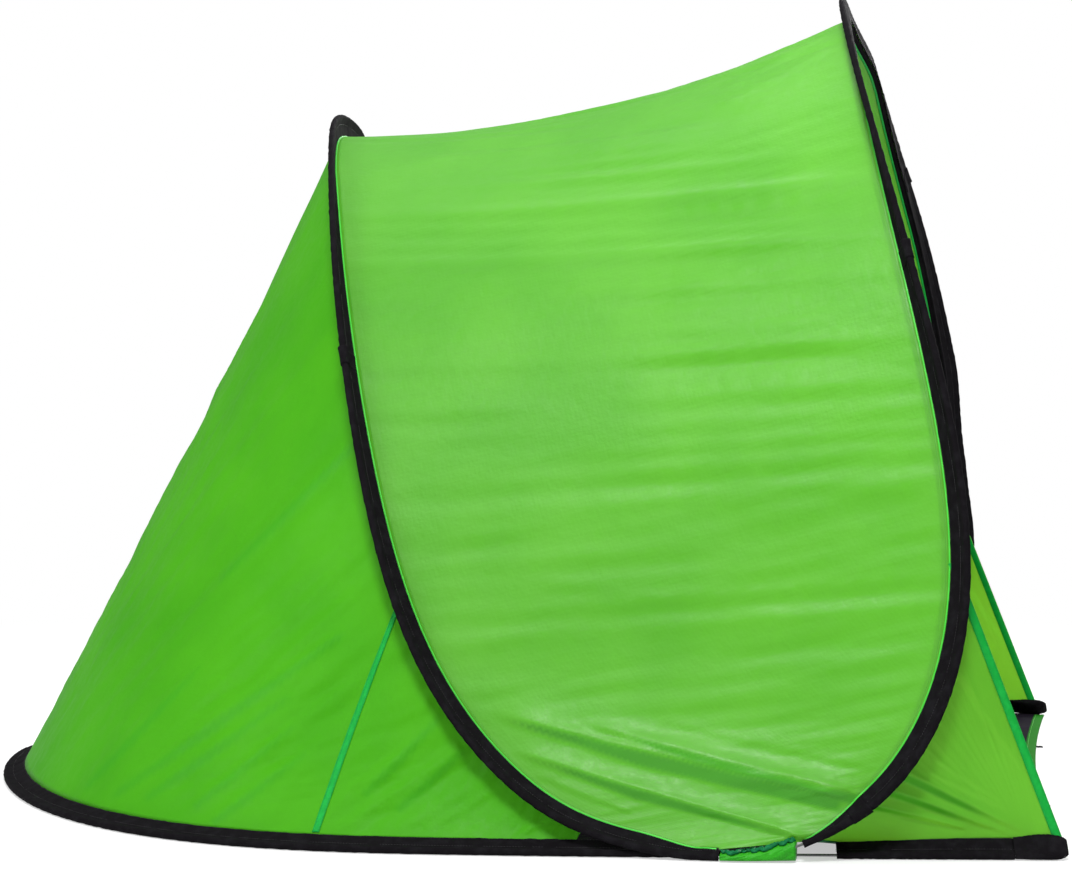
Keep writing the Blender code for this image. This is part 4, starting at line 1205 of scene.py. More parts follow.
@dataclass
class Sleeves:
    """The black sleeves: a round channel for the wire, and a flat double band sewn to the panels."""

    lines: TentLines
    palette: Palette
    machine: SewingMachine
    channel: float = 0.0045
    band: float = 0.0017
    ripple: float = 0.0011
    lump: float = 0.0005
    seed: int = 3
    ground_gap: float = 0.0002
    seam_row: float = 0.004
    channel_row: float = 2.3
    thread_lift: float = 0.0001
    tab_stations: int = 11
    foot_fold: tuple[float, float, float] = (0.058, 0.018, 0.0011)
    strips: dict[str, Strip] = field(default_factory=dict)

    def outline(self, width: float) -> np.ndarray:
        """Return the sleeve's outline at one place, towards the seam and across, as pairs."""
        band_start, half = 1.75 * self.channel, 0.5 * self.band
        inward = band_start + (width - band_start) * np.linspace(1.0, 0.0, 7)
        face = np.full(len(inward), half)
        face[0] = 0.35 * half
        turns = np.linspace(0.22, 0.78, 11) * 2.0 * math.pi
        ring = np.stack([np.cos(turns) * self.channel, np.sin(turns) * self.channel], axis=1)
        return np.concatenate([
            np.stack([inward, face], axis=1), ring, np.stack([inward[::-1], -face[::-1]], axis=1),
        ])

    def sweep(self, name: str, strip: Strip, seed: int) -> Object:
        """Return a sleeve along a strip, crinkled over the wire and rippled across the band."""
        rings = strip.rings([self.outline(width) for width in strip.width])
        reach = reach_along(strip.wire)
        from_wire = self.outline(self.lines.sleeve_width)[:, 0] / self.lines.sleeve_width
        billow = np.where(from_wire > 0.2, 4.0 * np.clip(from_wire, 0, 1) * (1.0 - from_wire), 0.0)
        wave = waves(reach, seed, (0.045, 1.0), (0.021, 0.7))
        rings += strip.across[:, None, :] * (wave[:, None] * billow * self.ripple)[:, :, None]
        on_wire = np.clip(1.0 - from_wire * 4.0, 0.0, 1.0)
        swell = waves(reach, seed + 2, (0.016, 1.0), (0.008, 0.6))
        rings += (rings - strip.wire[:, None, :]) * (
            swell[:, None] * on_wire * self.lump / self.channel
        )[:, :, None]
        rings[:, :, 2] = np.maximum(rings[:, :, 2], self.ground_gap)
        return loft(name, rings)

    def overlap(
        self, name: str, strip: Strip, height: float, side: Side, body: str,
        length: float = 0.020, lift: float = 0.0014,
    ) -> Object:
        """Make a short wrap of cloth over a sleeve, with one loose end that stands off.

        Args:
            name: The piece's name.
            strip: The sleeve's strip.
            height: How high up the leg its middle is.
            side: Which leg it is on.
            body: The body that it rides on.
            length: Its length along the sleeve.
            lift: How far it stands off the sleeve.

        Returns:
            The wrap.
        """
        own_side = strip.wire[:, 1] * side.value > 0.0
        middle = int(np.argmin(np.where(own_side, np.abs(strip.wire[:, 2] - height), np.inf)))
        count = max(2, round(0.5 * length / np.linalg.norm(strip.wire[middle + 1] - strip.wire[middle])))
        part = strip.cut(middle - count, middle + count)
        width = float(strip.width[middle]) * 0.92
        parts = [resample(line, self.tab_stations) for line in (part.wire, part.along, part.across)]
        outline = self.outline(width)
        from_wire = np.linalg.norm(outline, axis=1, keepdims=True)
        on_channel = from_wire < 1.6 * self.channel
        outlines = []
        for share in np.linspace(0.0, 1.0, self.tab_stations):
            rise = lift * (1.0 + 0.9 * share**3)
            flat = outline + outline / np.maximum(from_wire, 1e-6) * rise * on_channel
            flat[:, 1] += np.sign(outline[:, 1]) * rise * 0.6 * ~on_channel[:, 0]
            outlines.append(flat)
        made = loft(name, Strip(*parts, np.full(self.tab_stations, width)).rings(outlines))
        return dress(made, self.palette.sleeve, "black_sleeve", body)

    def stitch_paths(self, strip: Strip) -> Paths:
        """Return the rows of stitches beside the seam and beside the channel, on both faces of a sleeve."""
        rows = []
        for reach_in in (strip.width - self.seam_row, self.channel_row * self.channel):
            for face in (1.0, -1.0):
                lift = face * (0.5 * self.band + self.thread_lift)
                rows.append((strip.place(reach_in, lift), strip.across * face))
        return rows

    def build(self) -> None:
        """Make every sleeve with its stitches, the overlap tabs and the folds at the front feet."""
        lines = self.lines
        rear, front, floor = lines.rear_strip(), lines.front_strip(), lines.floor_strip()
        arm = lines.arm_strip(lines.bare_wire, lines.pocket_length)
        self.strips = {"rear": rear, "front": front, "floor": floor}
        sleeves = [
            ("hoop_sleeve_rear", rear, REAR_BODY),
            ("floor_sleeve_rear", floor, REAR_BODY),
            ("hoop_sleeve_front", front, FRONT_BODY),
            ("floor_sleeve_front_near", arm, FRONT_BODY),
            ("floor_sleeve_front_far", arm.mirrored(), FRONT_BODY),
        ]
        for index, (node, strip, body) in enumerate(sleeves):
            piece = self.sweep(f"{node}_cloth", strip, self.seed + 10 * index)
            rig.replaces(piece, node)
            dress(piece, self.palette.sleeve, "black_sleeve", body)
            rows = self.stitch_paths(strip)
            self.machine.stitch(f"{node}_stitches", rows, self.palette.black_thread, "black_sleeve", body)
        for node, strip, height, side, body in (
            ("sleeve_tab_rear_near", rear, 0.600, Side.NEAR, REAR_BODY),
            ("sleeve_tab_rear_far", rear, 0.600, Side.FAR, REAR_BODY),
            ("sleeve_tab_front_near", front, 0.735, Side.NEAR, FRONT_BODY),
            ("sleeve_tab_front_far", front, 0.890, Side.FAR, FRONT_BODY),
        ):
            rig.replaces(self.overlap(f"{node}_cloth", strip, height, side, body), node)
        height, length, lift = self.foot_fold
        for side in Side:
            self.overlap(f"front_foot_fold_{side.label}", front, height, side, FRONT_BODY, length, lift)


@dataclass
class Wires:
    """The sprung loop and the floor bow, as round drawn wire."""

    lines: TentLines
    palette: Palette
    machine: SewingMachine
    radius: float = 0.0016
    cap_length: float = 0.012
    step: float = 0.011
    parting_x: float = 0.33
    bend_reach: float = 0.04
    clear_of_ground: float = 0.1

    def draw(self, name: str, path: np.ndarray) -> Object:
        """Return a wire along a path, in evenly spaced steps."""
        path = resample(path, int(reach_along(path)[-1] / self.step))
        return self.machine.wire(name, path, self.radius, self.palette.steel)

    def build(self) -> None:
        """Draw the sprung loop as one closed wire, and the floor bow as one open one."""
        lines = self.lines
        rear = lines.rear_hoop.with_far_leg(over_top(lines.rear_loop_half()))
        front = lines.front_hoop.with_far_leg(over_top(lines.front_loop_half()))
        piece = self.draw("spring_loop", np.vstack([rear, front[::-1]]))
        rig.replaces(piece, "hoop_wire_rear", "hoop_wire_front")
        self.finish(piece, self.parting_x)
        arm_end = lines.floor.corner_x - 0.75 * self.cap_length
        piece = self.draw("floor_bow", over_top(cut_at_x(lines.floor.half(), arm_end)))
        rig.replaces(piece, "floor_wire_rear", "floor_wire_front_near", "floor_wire_front_far")
        self.finish(piece, None)

    def finish(self, piece: Object, parting_x: float | None) -> None:
        """Give a wire its metal, and bend it at the fold; above the ground it goes by parting_x."""
        piece.data.materials.clear()
        piece.data.materials.append(self.palette.steel)
        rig.slot(piece, "spring_steel")
        points, fold_x = positions(piece), self.lines.fold_x
        weights = ease((points[:, 0] - fold_x + 0.5 * self.bend_reach) / self.bend_reach)
        if parting_x is not None:
            in_front = (points[:, 0] > parting_x).astype(float)
            weights = np.where(points[:, 2] > self.clear_of_ground, in_front, weights)
        bend(piece, fold_x - self.bend_reach, fold_x + self.bend_reach, weights)


@dataclass
class Panels:
    """The canopy between the hoops, the rear wall and the two side wings, with their tapes."""

    lines: TentLines
    palette: Palette
    machine: SewingMachine
    strips: dict[str, Strip]
    tuck_in: float = 0.003
    ridge_sag: float = 0.044
    side_sag: float = 0.012
    wall_sag: float = 0.009
    rear_start: float = 0.17
    wing_top: float = 0.365
    tape_width: float = 0.011
    tape_trim: float = 0.016
    rear_tape_shares: tuple[float, float] = (0.116, 0.141)
    rear_tape_width: float = 0.009
    piping_width: float = 0.0019
    piping_step: float = 0.0014
    piping_lift: float = 0.0003
    piping_height: float = 0.0011
    piping_pitch: float = 0.0026
    inner_tape_width: float = 0.0050
    tape_thickness: float = 0.0006
    lining_gap: float = 0.0010
    seam_gap: float = 0.0004
    tape_lift: float = 0.0004
    tape_height: float = 0.0009
    stitch_lift: float = 0.0005
    wall_tape_lift: float = 0.0008
    edging_width: float = 0.0035
    binding_overlap: float = 0.0025
    hem_size: tuple[float, float] = (0.006, 0.0012)
    far_wing_short: float = 0.012
    fold_depths: tuple[float, float] = (0.0028, 0.0034)
    fold_length: float = 0.057
    sharp_fold: float = 0.0024
    canopy_crumple: float = 0.0012
    wall_ruck: float = 0.0030
    wall_crumple: float = 0.0024
    wall_tuck_share: float = 0.3
    wing_crumple: float = 0.0022
    canopy_grid: tuple[int, int] = (461, 105)
    wall_grid: tuple[int, int] = (401, 101)
    wing_grid: tuple[int, int] = (181, 81)
    band_tilt: float = -0.16
    top_tilt: float = 0.255
    canopy_creases: tuple[Crease, ...] = (
        Crease((0.070, 0.160), (0.500, 0.073), 0.0130, (0.002, 0.019, 0.016), 0.016),
        Crease((0.175, 0.154), (0.520, 0.078), 0.0082, (0.001, 0.011, 0.013), 0.010),
        Crease((0.095, 0.118), (0.460, 0.027), 0.0096, (0.001, 0.013, 0.004), 0.014),
        Crease((0.300, 0.990), (0.468, 1.058), 0.0022, (0.004, 0.007, 0.004), 0.010),
        Crease((0.300, 0.952), (0.452, 1.022), 0.0020, (0.004, 0.007, 0.004), 0.010),
        Crease((0.330, 0.940), (0.425, 0.972), 0.0014, (0.004, 0.007, 0.004), 0.008),
        Crease((0.265, 0.160), (0.540, 0.108), 0.0014, (0.001, 0.006, 0.005), 0.020),
        Crease((0.130, 0.090), (0.250, 0.050), 0.0016, (0.001, 0.005, 0.002), 0.012),
        Crease((0.330, 0.052), (0.430, 0.036), 0.0014, (0.001, 0.004, 0.002), 0.010),
        Crease((0.050, 0.330), (0.420, 0.285), 0.0010, (0.001, 0.008, 0.003), 0.045),
        Crease((0.180, 0.462), (0.600, 0.430), 0.0011, (0.001, 0.010, 0.006), 0.050),
        Crease((0.240, 0.640), (0.600, 0.596), 0.0013, (0.001, 0.011, 0.008), 0.050),
    )
    front_puckers: Puckers = Puckers(0.0024, (0.050, 0.024), 11, 0.16, 10.0)
    rear_puckers: Puckers = Puckers(0.0014, (0.045, 0.022), 13, 0.13, 12.0)
    foot_puckers: Puckers = Puckers(0.0020, (0.060, 0.030), 21, 0.16, 10.0)
    wall_fans: tuple[Fan, ...] = (
        Fan((-1.60, -1.00), 0.040, 0.0026, 0.95, 2.45, 31),
        Fan((-1.60, -1.00), 0.017, 0.0009, 1.00, 2.30, 32),
        Fan((-0.70, -0.05), 0.060, 0.0012, 0.10, 0.80, 33),
    )
    wall_creases: tuple[Crease, ...] = (
        Crease((-0.450, 0.028), (-0.130, 0.250), 0.0050, (0.008, 0.013, 0.008), 0.014),
        Crease((-0.390, 0.035), (-0.190, 0.175), 0.0038, (0.008, 0.012, 0.006), 0.012),
        Crease((-0.500, 0.030), (-0.330, 0.200), 0.0036, (0.008, 0.012, 0.006), 0.014),
        Crease((-0.310, 0.035), (-0.180, 0.140), 0.0034, (0.008, 0.010, 0.006), 0.012),
        Crease((-0.280, 0.020), (-0.160, 0.110), 0.0030, (0.008, 0.010, 0.006), 0.012),
        Crease((-0.085, 0.060), (0.010, 0.160), 0.0036, (0.008, 0.011, 0.006), 0.012),
        Crease((-0.040, 0.045), (0.040, 0.120), 0.0032, (0.008, 0.010, 0.006), 0.010),
        Crease((-0.330, 0.300), (-0.100, 0.520), 0.0030, (0.008, 0.012, 0.006), 0.020),
    )
    wing_fan: Fan = Fan((0.735, 0.0), 0.12, 0.0004, 0.02, 0.40, 41)
    wing_creases: tuple[Crease, ...] = (
        Crease((0.560, 0.112), (0.722, 0.028), 0.0085, (0.012, 0.009, 0.002), 0.012),
        Crease((0.548, 0.088), (0.705, 0.026), 0.0070, (0.010, 0.008, 0.002), 0.008),
        Crease((0.530, 0.068), (0.650, 0.034), 0.0055, (0.008, 0.006, 0.002), 0.007),
        Crease((0.610, 0.118), (0.692, 0.066), 0.0016, (0.002, 0.004, 0.001), 0.014),
        Crease((0.600, 0.104), (0.700, 0.056), 0.0018, (0.002, 0.004, 0.001), 0.012),
        Crease((0.632, 0.235), (0.716, 0.105), 0.0024, (0.006, 0.009, 0.003), 0.020),
        Crease((0.645, 0.310), (0.702, 0.180), 0.0024, (0.008, 0.009, 0.004), 0.020),
    )

    def seam(self, strip: Strip, face: float) -> np.ndarray:
        """Return the line a panel starts from, just inside the sleeve's seam on one face."""
        return strip.place(strip.width - self.tuck_in, face * self.seam_gap)

    @staticmethod
    def joined(start: np.ndarray, end: np.ndarray, columns: int) -> np.ndarray:
        """Return the grid of straight lines from one edge to the other."""
        shares = np.linspace(0.0, 1.0, columns)[None, :, None]
        return start[:, None, :] * (1.0 - shares) + end[:, None, :] * shares

    def ruled(self, first: np.ndarray, last: np.ndarray, shares: np.ndarray, columns: int) -> np.ndarray:
        """Return the grid of straight lines that join two seams at the same shares of their lengths."""
        edges = [at_reach(seam, shares * reach_along(seam)[-1]) for seam in (first, last)]
        return self.joined(*edges, columns)

    @staticmethod
    def facing(grid: np.ndarray, towards: np.ndarray) -> np.ndarray:
        """Return a grid's normals, turned so that the middle one points roughly towards a direction."""
        normals = grid_normals(grid)
        middle = normals[grid.shape[0] // 2, grid.shape[1] // 2]
        return normals if float(np.dot(middle, towards)) > 0.0 else -normals

    def build(self) -> None:
        """Make every panel."""
        self.build_canopy()
        self.build_wall()
        self.build_wings()

    @staticmethod
    def close_to_ends(count: int) -> np.ndarray:
        """Return shares from 0 to 1 that lie closer together towards both ends."""
        even = np.linspace(0.0, 1.0, count)
        return 0.35 * even + 0.65 * 0.5 * (1.0 - np.cos(math.pi * even))

    @staticmethod
    def inset_line(grid: np.ndarray, distance: float, from_end: bool) -> np.ndarray:
        """Return the line at a distance in from a grid's first column, or from its last."""
        rows = grid[:, ::-1] if from_end else grid
        return np.array([at_reach(row[:14], [distance])[0] for row in rows])

    def canopy_depth(self, grid: np.ndarray) -> np.ndarray:
        """Return how far the canopy lies inside the straight lines between the two hoops.

        Args:
            grid: The straight lines, as rows round the hoops and columns from the rear to the front.

        Returns:
            The sag, with the pull of the seams and the long folds that run from hoop to hoop.
        """
        rows, columns = grid.shape[:2]
        from_side = 1.0 - np.abs(2.0 * self.close_to_ends(rows) - 1.0)
        across, belly = span_shares(columns)
        height = grid[:, :, 2] / grid[:, :, 2].max(axis=0)
        sag = self.side_sag + (self.ridge_sag - self.side_sag) * height**8
        depth = sag * ease(4.0 * from_side)[:, None] * belly
        reach = reach_along(grid[:, -1])
        depth += self.front_puckers.depth_at(reach, 1.0 - across)
        depth += self.rear_puckers.depth_at(reach, across)
        tilt = self.top_tilt + self.band_tilt * (1.0 - height**2)
        up = np.minimum(reach, reach[-1] - reach)[:, None] + tilt * across
        stretched = grid * np.array([0.35, 1.0, 1.0])
        patch = crinkle(stretched, 0.11, 1)
        strength = np.clip(0.55 + 1.3 * patch, 0.0, 1.3) * (0.6 + 0.4 * across) * belly**0.4
        lower = 0.35 + 0.65 * ease((height - 0.12) / 0.25)
        full = self.fold_depths[0] + self.fold_depths[1] * height
        depth += full * strength * lower * wander(up, self.fold_length, 15)
        sharp = np.exp(-((wander(up + 0.01 * patch, 0.10, 16) / 0.10) ** 2))
        depth -= self.sharp_fold * sharp * np.clip(strength - 0.35, 0.0, 1.0) * lower
        depth += self.canopy_crumple * crinkle(stretched, 0.045, 2) * lower * belly**0.5
        for crease in self.canopy_creases:
            depth -= crease.depth_at(grid)
        return depth

    def build_canopy(self) -> None:
        """Make the canopy that spans the two hoops, with its piping and the binding along its front seam."""
        rows, columns = self.canopy_grid
        seams = self.seam(self.strips["rear"], 1.0), self.seam(self.strips["front"], -1.0)
        grid = self.ruled(*seams, self.close_to_ends(rows), columns)
        normals = self.facing(grid, -UP)
        grid = grid + normals * self.canopy_depth(grid)[:, :, None]
        piece = cloth_sheet("canopy_cloth", grid)
        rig.replaces(piece, "centre_panel")
        mark_tucks(piece, grid, self.canopy_creases[:3])
        piece.data.materials.append(self.palette.canopy)
        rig.slot(piece, "lime_canopy")
        declare_cloth(piece, grid, "stretched", ["hoop_sleeve_rear_cloth", "hoop_sleeve_front_cloth"])
        share = np.broadcast_to(span_shares(columns)[0], (rows, columns)).ravel()
        bend(piece, self.lines.sheath_x, self.lines.fold_x, ease(np.concatenate([share, share])))
        self.trim_canopy(grid, normals)

    def trim_canopy(self, grid: np.ndarray, normals: np.ndarray) -> None:
        """Sew the piping along both seams of the canopy, and the binding inside the front one."""
        keep = slice(2, -2)
        for label, body, from_end in (("rear", REAR_BODY, False), ("front", FRONT_BODY, True)):
            out = unit(-normals[:, -3 if from_end else 2])[keep]
            line, row = [
                self.inset_line(grid, self.tuck_in + step, from_end)[keep] + out * self.piping_lift
                for step in (-self.piping_step, self.piping_width + self.piping_step)
            ]
            cord = self.tape(f"{label}_seam_piping", line, out, self.piping_width, self.piping_height)
            dress(cord, self.palette.piping, "lime_canopy", body)
            self.machine.stitch(
                f"{label}_piping_stitches", [(row, out)], self.palette.green_thread, "lime_canopy", body,
                self.piping_pitch,
            )
        keep = slice(6, -6)
        inner = unit(normals[:, -3])[keep] * self.lining_gap
        start, middle = self.tuck_in - self.binding_overlap, self.tuck_in + self.inner_tape_width
        end = middle + self.edging_width
        for name, low, high, material, slot in (
            ("front_seam_inner_binding", start, middle, self.palette.sleeve, "black_sleeve"),
            ("front_seam_inner_edging", middle, end, self.palette.tape, "emerald_tape"),
        ):
            edges = [self.inset_line(grid, inset, True)[keep] + inner for inset in (low, high)]
            dress(cloth_sheet(name, self.joined(*edges, 4), self.tape_thickness), material, slot, FRONT_BODY)

    def wall_depth(self, grid: np.ndarray, shares: np.ndarray) -> np.ndarray:
        """Return how far the rear wall lies outside the straight lines from the floor to the hoop.

        Args:
            grid: The straight lines, as rows round the tent and columns from the floor up.
            shares: Each row's place round the tent, from 0 to 1.

        Returns:
            The sag, with the pull of both seams, the fans of folds and the tucks, and flat under the tapes.
        """
        columns = grid.shape[1]
        across, belly = span_shares(columns)
        from_side = 1.0 - np.abs(2.0 * shares - 1.0)
        plain = -self.wall_sag * belly * ease(8.0 * from_side)[:, None]
        depth = plain + self.foot_puckers.depth_at(reach_along(grid[:, 0]), across)
        from_hoop = np.linalg.norm(grid - grid[:, -1:], axis=2)
        climb = reach_along(grid[:, -1])
        climb = np.minimum(climb, climb[-1] - climb)
        gathered = np.exp(-from_hoop / 0.05) * (1.0 - np.exp(-from_hoop / 0.006))
        gathered = gathered * ease((0.62 - climb) / 0.3)[:, None]
        depth += self.wall_ruck * waves(climb, 24, (0.017, 0.6), (0.033, 0.4))[:, None] * gathered
        for fan in self.wall_fans:
            depth += fan.depth_at(grid) * belly**0.7
        for crease in self.wall_creases:
            depth += crease.depth_at(grid) * belly**0.5
        depth += self.wall_crumple * crinkle(grid, 0.10, 2) * belly**0.5
        beside = np.minimum(shares, 1.0 - shares)[:, None] - self.tape_places(columns)
        return depth + 0.8 * (plain - depth) * np.exp(-((beside / 0.006) ** 2))

    def tape_places(self, columns: int) -> np.ndarray:
        """Return how far round the rear wall its near seam tape lies, from the floor up."""
        return np.linspace(*self.rear_tape_shares, columns)

    def build_wall(self) -> None:
        """Make the rear wall, from the rear hoop down to the floor sleeve, with its seam tapes."""
        rows, columns = self.wall_grid
        rear, floor = self.strips["rear"], self.strips["floor"]
        first = int(np.argmax(reach_along(rear.wire) >= self.rear_start))
        last = len(rear) - 1 - first
        shares = self.close_to_ends(rows)
        seams = self.seam(floor.cut(first, last), 1.0), self.seam(rear.cut(first, last), -1.0)
        grid = self.ruled(*seams, shares, columns)
        normals = self.facing(grid, np.array([-1.0, 0.0, 0.3]))
        grid = grid + normals * self.wall_depth(grid, shares)[:, :, None]
        piece = cloth_sheet("rear_wall_cloth", grid)
        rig.replaces(piece, "rear_panel", "rear_seam_tape_near", "rear_seam_tape_far")
        mark_tucks(piece, grid, self.wall_creases, self.wall_tuck_share)
        dress(piece, self.palette.wall, "lime_canopy", REAR_BODY)
        declare_cloth(piece, grid, "stretched", ["hoop_sleeve_rear_cloth", "floor_sleeve_rear_cloth"])
        self.build_wall_tapes(grid, normals, shares)

    @staticmethod
    def ribbon(grid: np.ndarray, places: np.ndarray, width: float, count: int) -> np.ndarray:
        """Return a band of cloth that lies on a grid, across its rows.

        Args:
            grid: The cloth that it lies on.
            places: The band's middle in each column, as a fraction of a row number.
            width: The band's width.
            count: How many points it has across.

        Returns:
            The band's grid, one row for each column of the cloth.
        """
        band = []
        for j, place in enumerate(places):
            first = max(0, int(place) - 8)
            column = grid[first : int(place) + 9, j]
            reach = reach_along(column)
            middle = float(np.interp(place - first, np.arange(len(reach)), reach))
            band.append(at_reach(column, middle + np.linspace(-0.5, 0.5, count) * width))
        return np.array(band)

    def build_wall_tapes(self, grid: np.ndarray, normals: np.ndarray, shares: np.ndarray) -> None:
        """Make the tape over the seam down each side of the rear wall, with its two rows of stitches."""
        wanted = self.tape_places(grid.shape[1])
        for side in Side:
            share = wanted if side is Side.NEAR else 1.0 - wanted
            places = np.interp(share, shares, np.arange(len(shares)))
            up = unit(np.array([normals[int(round(place)), j] for j, place in enumerate(places)]))
            band = self.ribbon(grid, places, self.rear_tape_width, 7) + up[:, None, :] * self.wall_tape_lift
            band, up = band[1:-1], up[1:-1]
            name = f"rear_wall_seam_{side.label}"
            piece = cloth_sheet(f"{name}_tape", band, self.tape_thickness)
            dress(piece, self.palette.tape, "emerald_tape", REAR_BODY)
            rows = [(band[:, k] + up * self.stitch_lift, up) for k in (1, 5)]
            self.machine.stitch(f"{name}_stitches", rows, self.palette.tape_thread, "emerald_tape", REAR_BODY)

    @staticmethod
    def tape(name: str, path: np.ndarray, up: np.ndarray, width: float, thickness: float) -> Object:
        """Return a flat tape centred on a path, with softly rounded edges."""
        across = unit(np.cross(tangents(path), up))
        half = 0.5 * width
        outline = [
            (-half, 0.25 * thickness), (-0.9 * half, 0.8 * thickness), (0.0, thickness),
            (0.9 * half, 0.8 * thickness), (half, 0.25 * thickness), (half, -0.1 * thickness),
            (0.0, -0.1 * thickness), (-half, -0.1 * thickness),
        ]
        rings = np.stack([path + across * a + up * b for a, b in outline], axis=1)
        return loft(name, rings, sharp=50.0)

    def build_wings(self) -> None:
        """Make the wing from each leg of the front hoop to the floor, with its hem and free edge's tape."""
        rows, columns = self.wing_grid
        belly = span_shares(columns)[1]
        inside = 1.0 - np.linspace(0.0, 1.0, rows)[:, None] ** 8
        for side, short in ((Side.NEAR, 0.0), (Side.FAR, self.far_wing_short)):
            arm = self.lines.arm_strip(self.lines.bare_wire, short)
            arm_edge = resample(arm.place(arm.width - self.tuck_in, 0.0), rows)
            seam = self.seam(self.strips["front"].leg(side), 1.0)
            top = float(np.interp(self.wing_top, seam[:, 2], reach_along(seam)))
            grid = self.joined(at_reach(seam, np.linspace(0.0, top, rows)), arm_edge, columns)
            normals = self.facing(grid, np.array([0.3, -1.0, 0.0]))
            depth = self.wing_fan.depth_at(grid) * belly**0.6 * inside
            for crease in self.wing_creases:
                depth += crease.depth_at(grid) * np.minimum(1.0, 3.0 * belly) * inside
            depth += self.wing_crumple * crinkle(grid, 0.05, 4) * belly**0.5 * inside
            grid = grid + normals * depth[:, :, None]
            name = f"wing_{side.label}"
            piece = cloth_sheet(f"{name}_cloth", grid * side.flip)
            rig.replaces(piece, name)
            mark_tucks(piece, grid, self.wing_creases[:3])
            dress(piece, self.palette.wing, "lime_canopy", FRONT_BODY)
            declare_cloth(piece, grid, "stretched", ["hoop_sleeve_front_cloth"])
            self.bind_wing(grid, normals, side)

    def bind_wing(self, grid: np.ndarray, normals: np.ndarray, side: Side) -> None:
        """Bind the free edge of a wing on both faces, and hem its short lower edge over the bare wire."""
        flip, width, name = side.flip, self.tape_width, f"wing_tape_{side.label}"
        line = grid[-1]
        free = at_reach(line, np.linspace(self.tape_trim, reach_along(line)[-1], 120))
        up = unit(resample(normals[-1], 120))
        back = unit(np.cross(tangents(free), up))
        if float(np.dot(back[60], grid[-4, 40] - grid[-1, 40])) < 0.0:
            back = -back
        path = free + back * 0.5 * width
        over = (path + up * self.tape_lift) * flip
        tape = self.tape(f"{name}_woven", over, up * flip, width, self.tape_height)
        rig.replaces(tape, name)
        dress(tape, self.palette.tape, "emerald_tape", FRONT_BODY)
        under = (path - up * self.lining_gap) * flip
        lining = self.tape(f"{name}_lining", under, -up * flip, width, self.tape_thickness)
        dress(lining, self.palette.tape, "emerald_tape", FRONT_BODY)
        top = path + up * (self.tape_height + self.stitch_lift)
        rows = [((top + back * 0.38 * width * sign) * flip, up * flip) for sign in (-1.0, 1.0)]
        self.machine.stitch(f"{name}_stitches", rows, self.palette.tape_thread, "emerald_tape", FRONT_BODY)
        low = resample(grid[1], 40)
        low_up = np.broadcast_to(unit(normals[1].mean(axis=0)), low.shape)
        low = (low + low_up * self.tape_lift) * flip
        hem = self.tape(f"wing_hem_{side.label}", low, low_up * flip, *self.hem_size)
        dress(hem, self.palette.hem, "emerald_tape", FRONT_BODY)


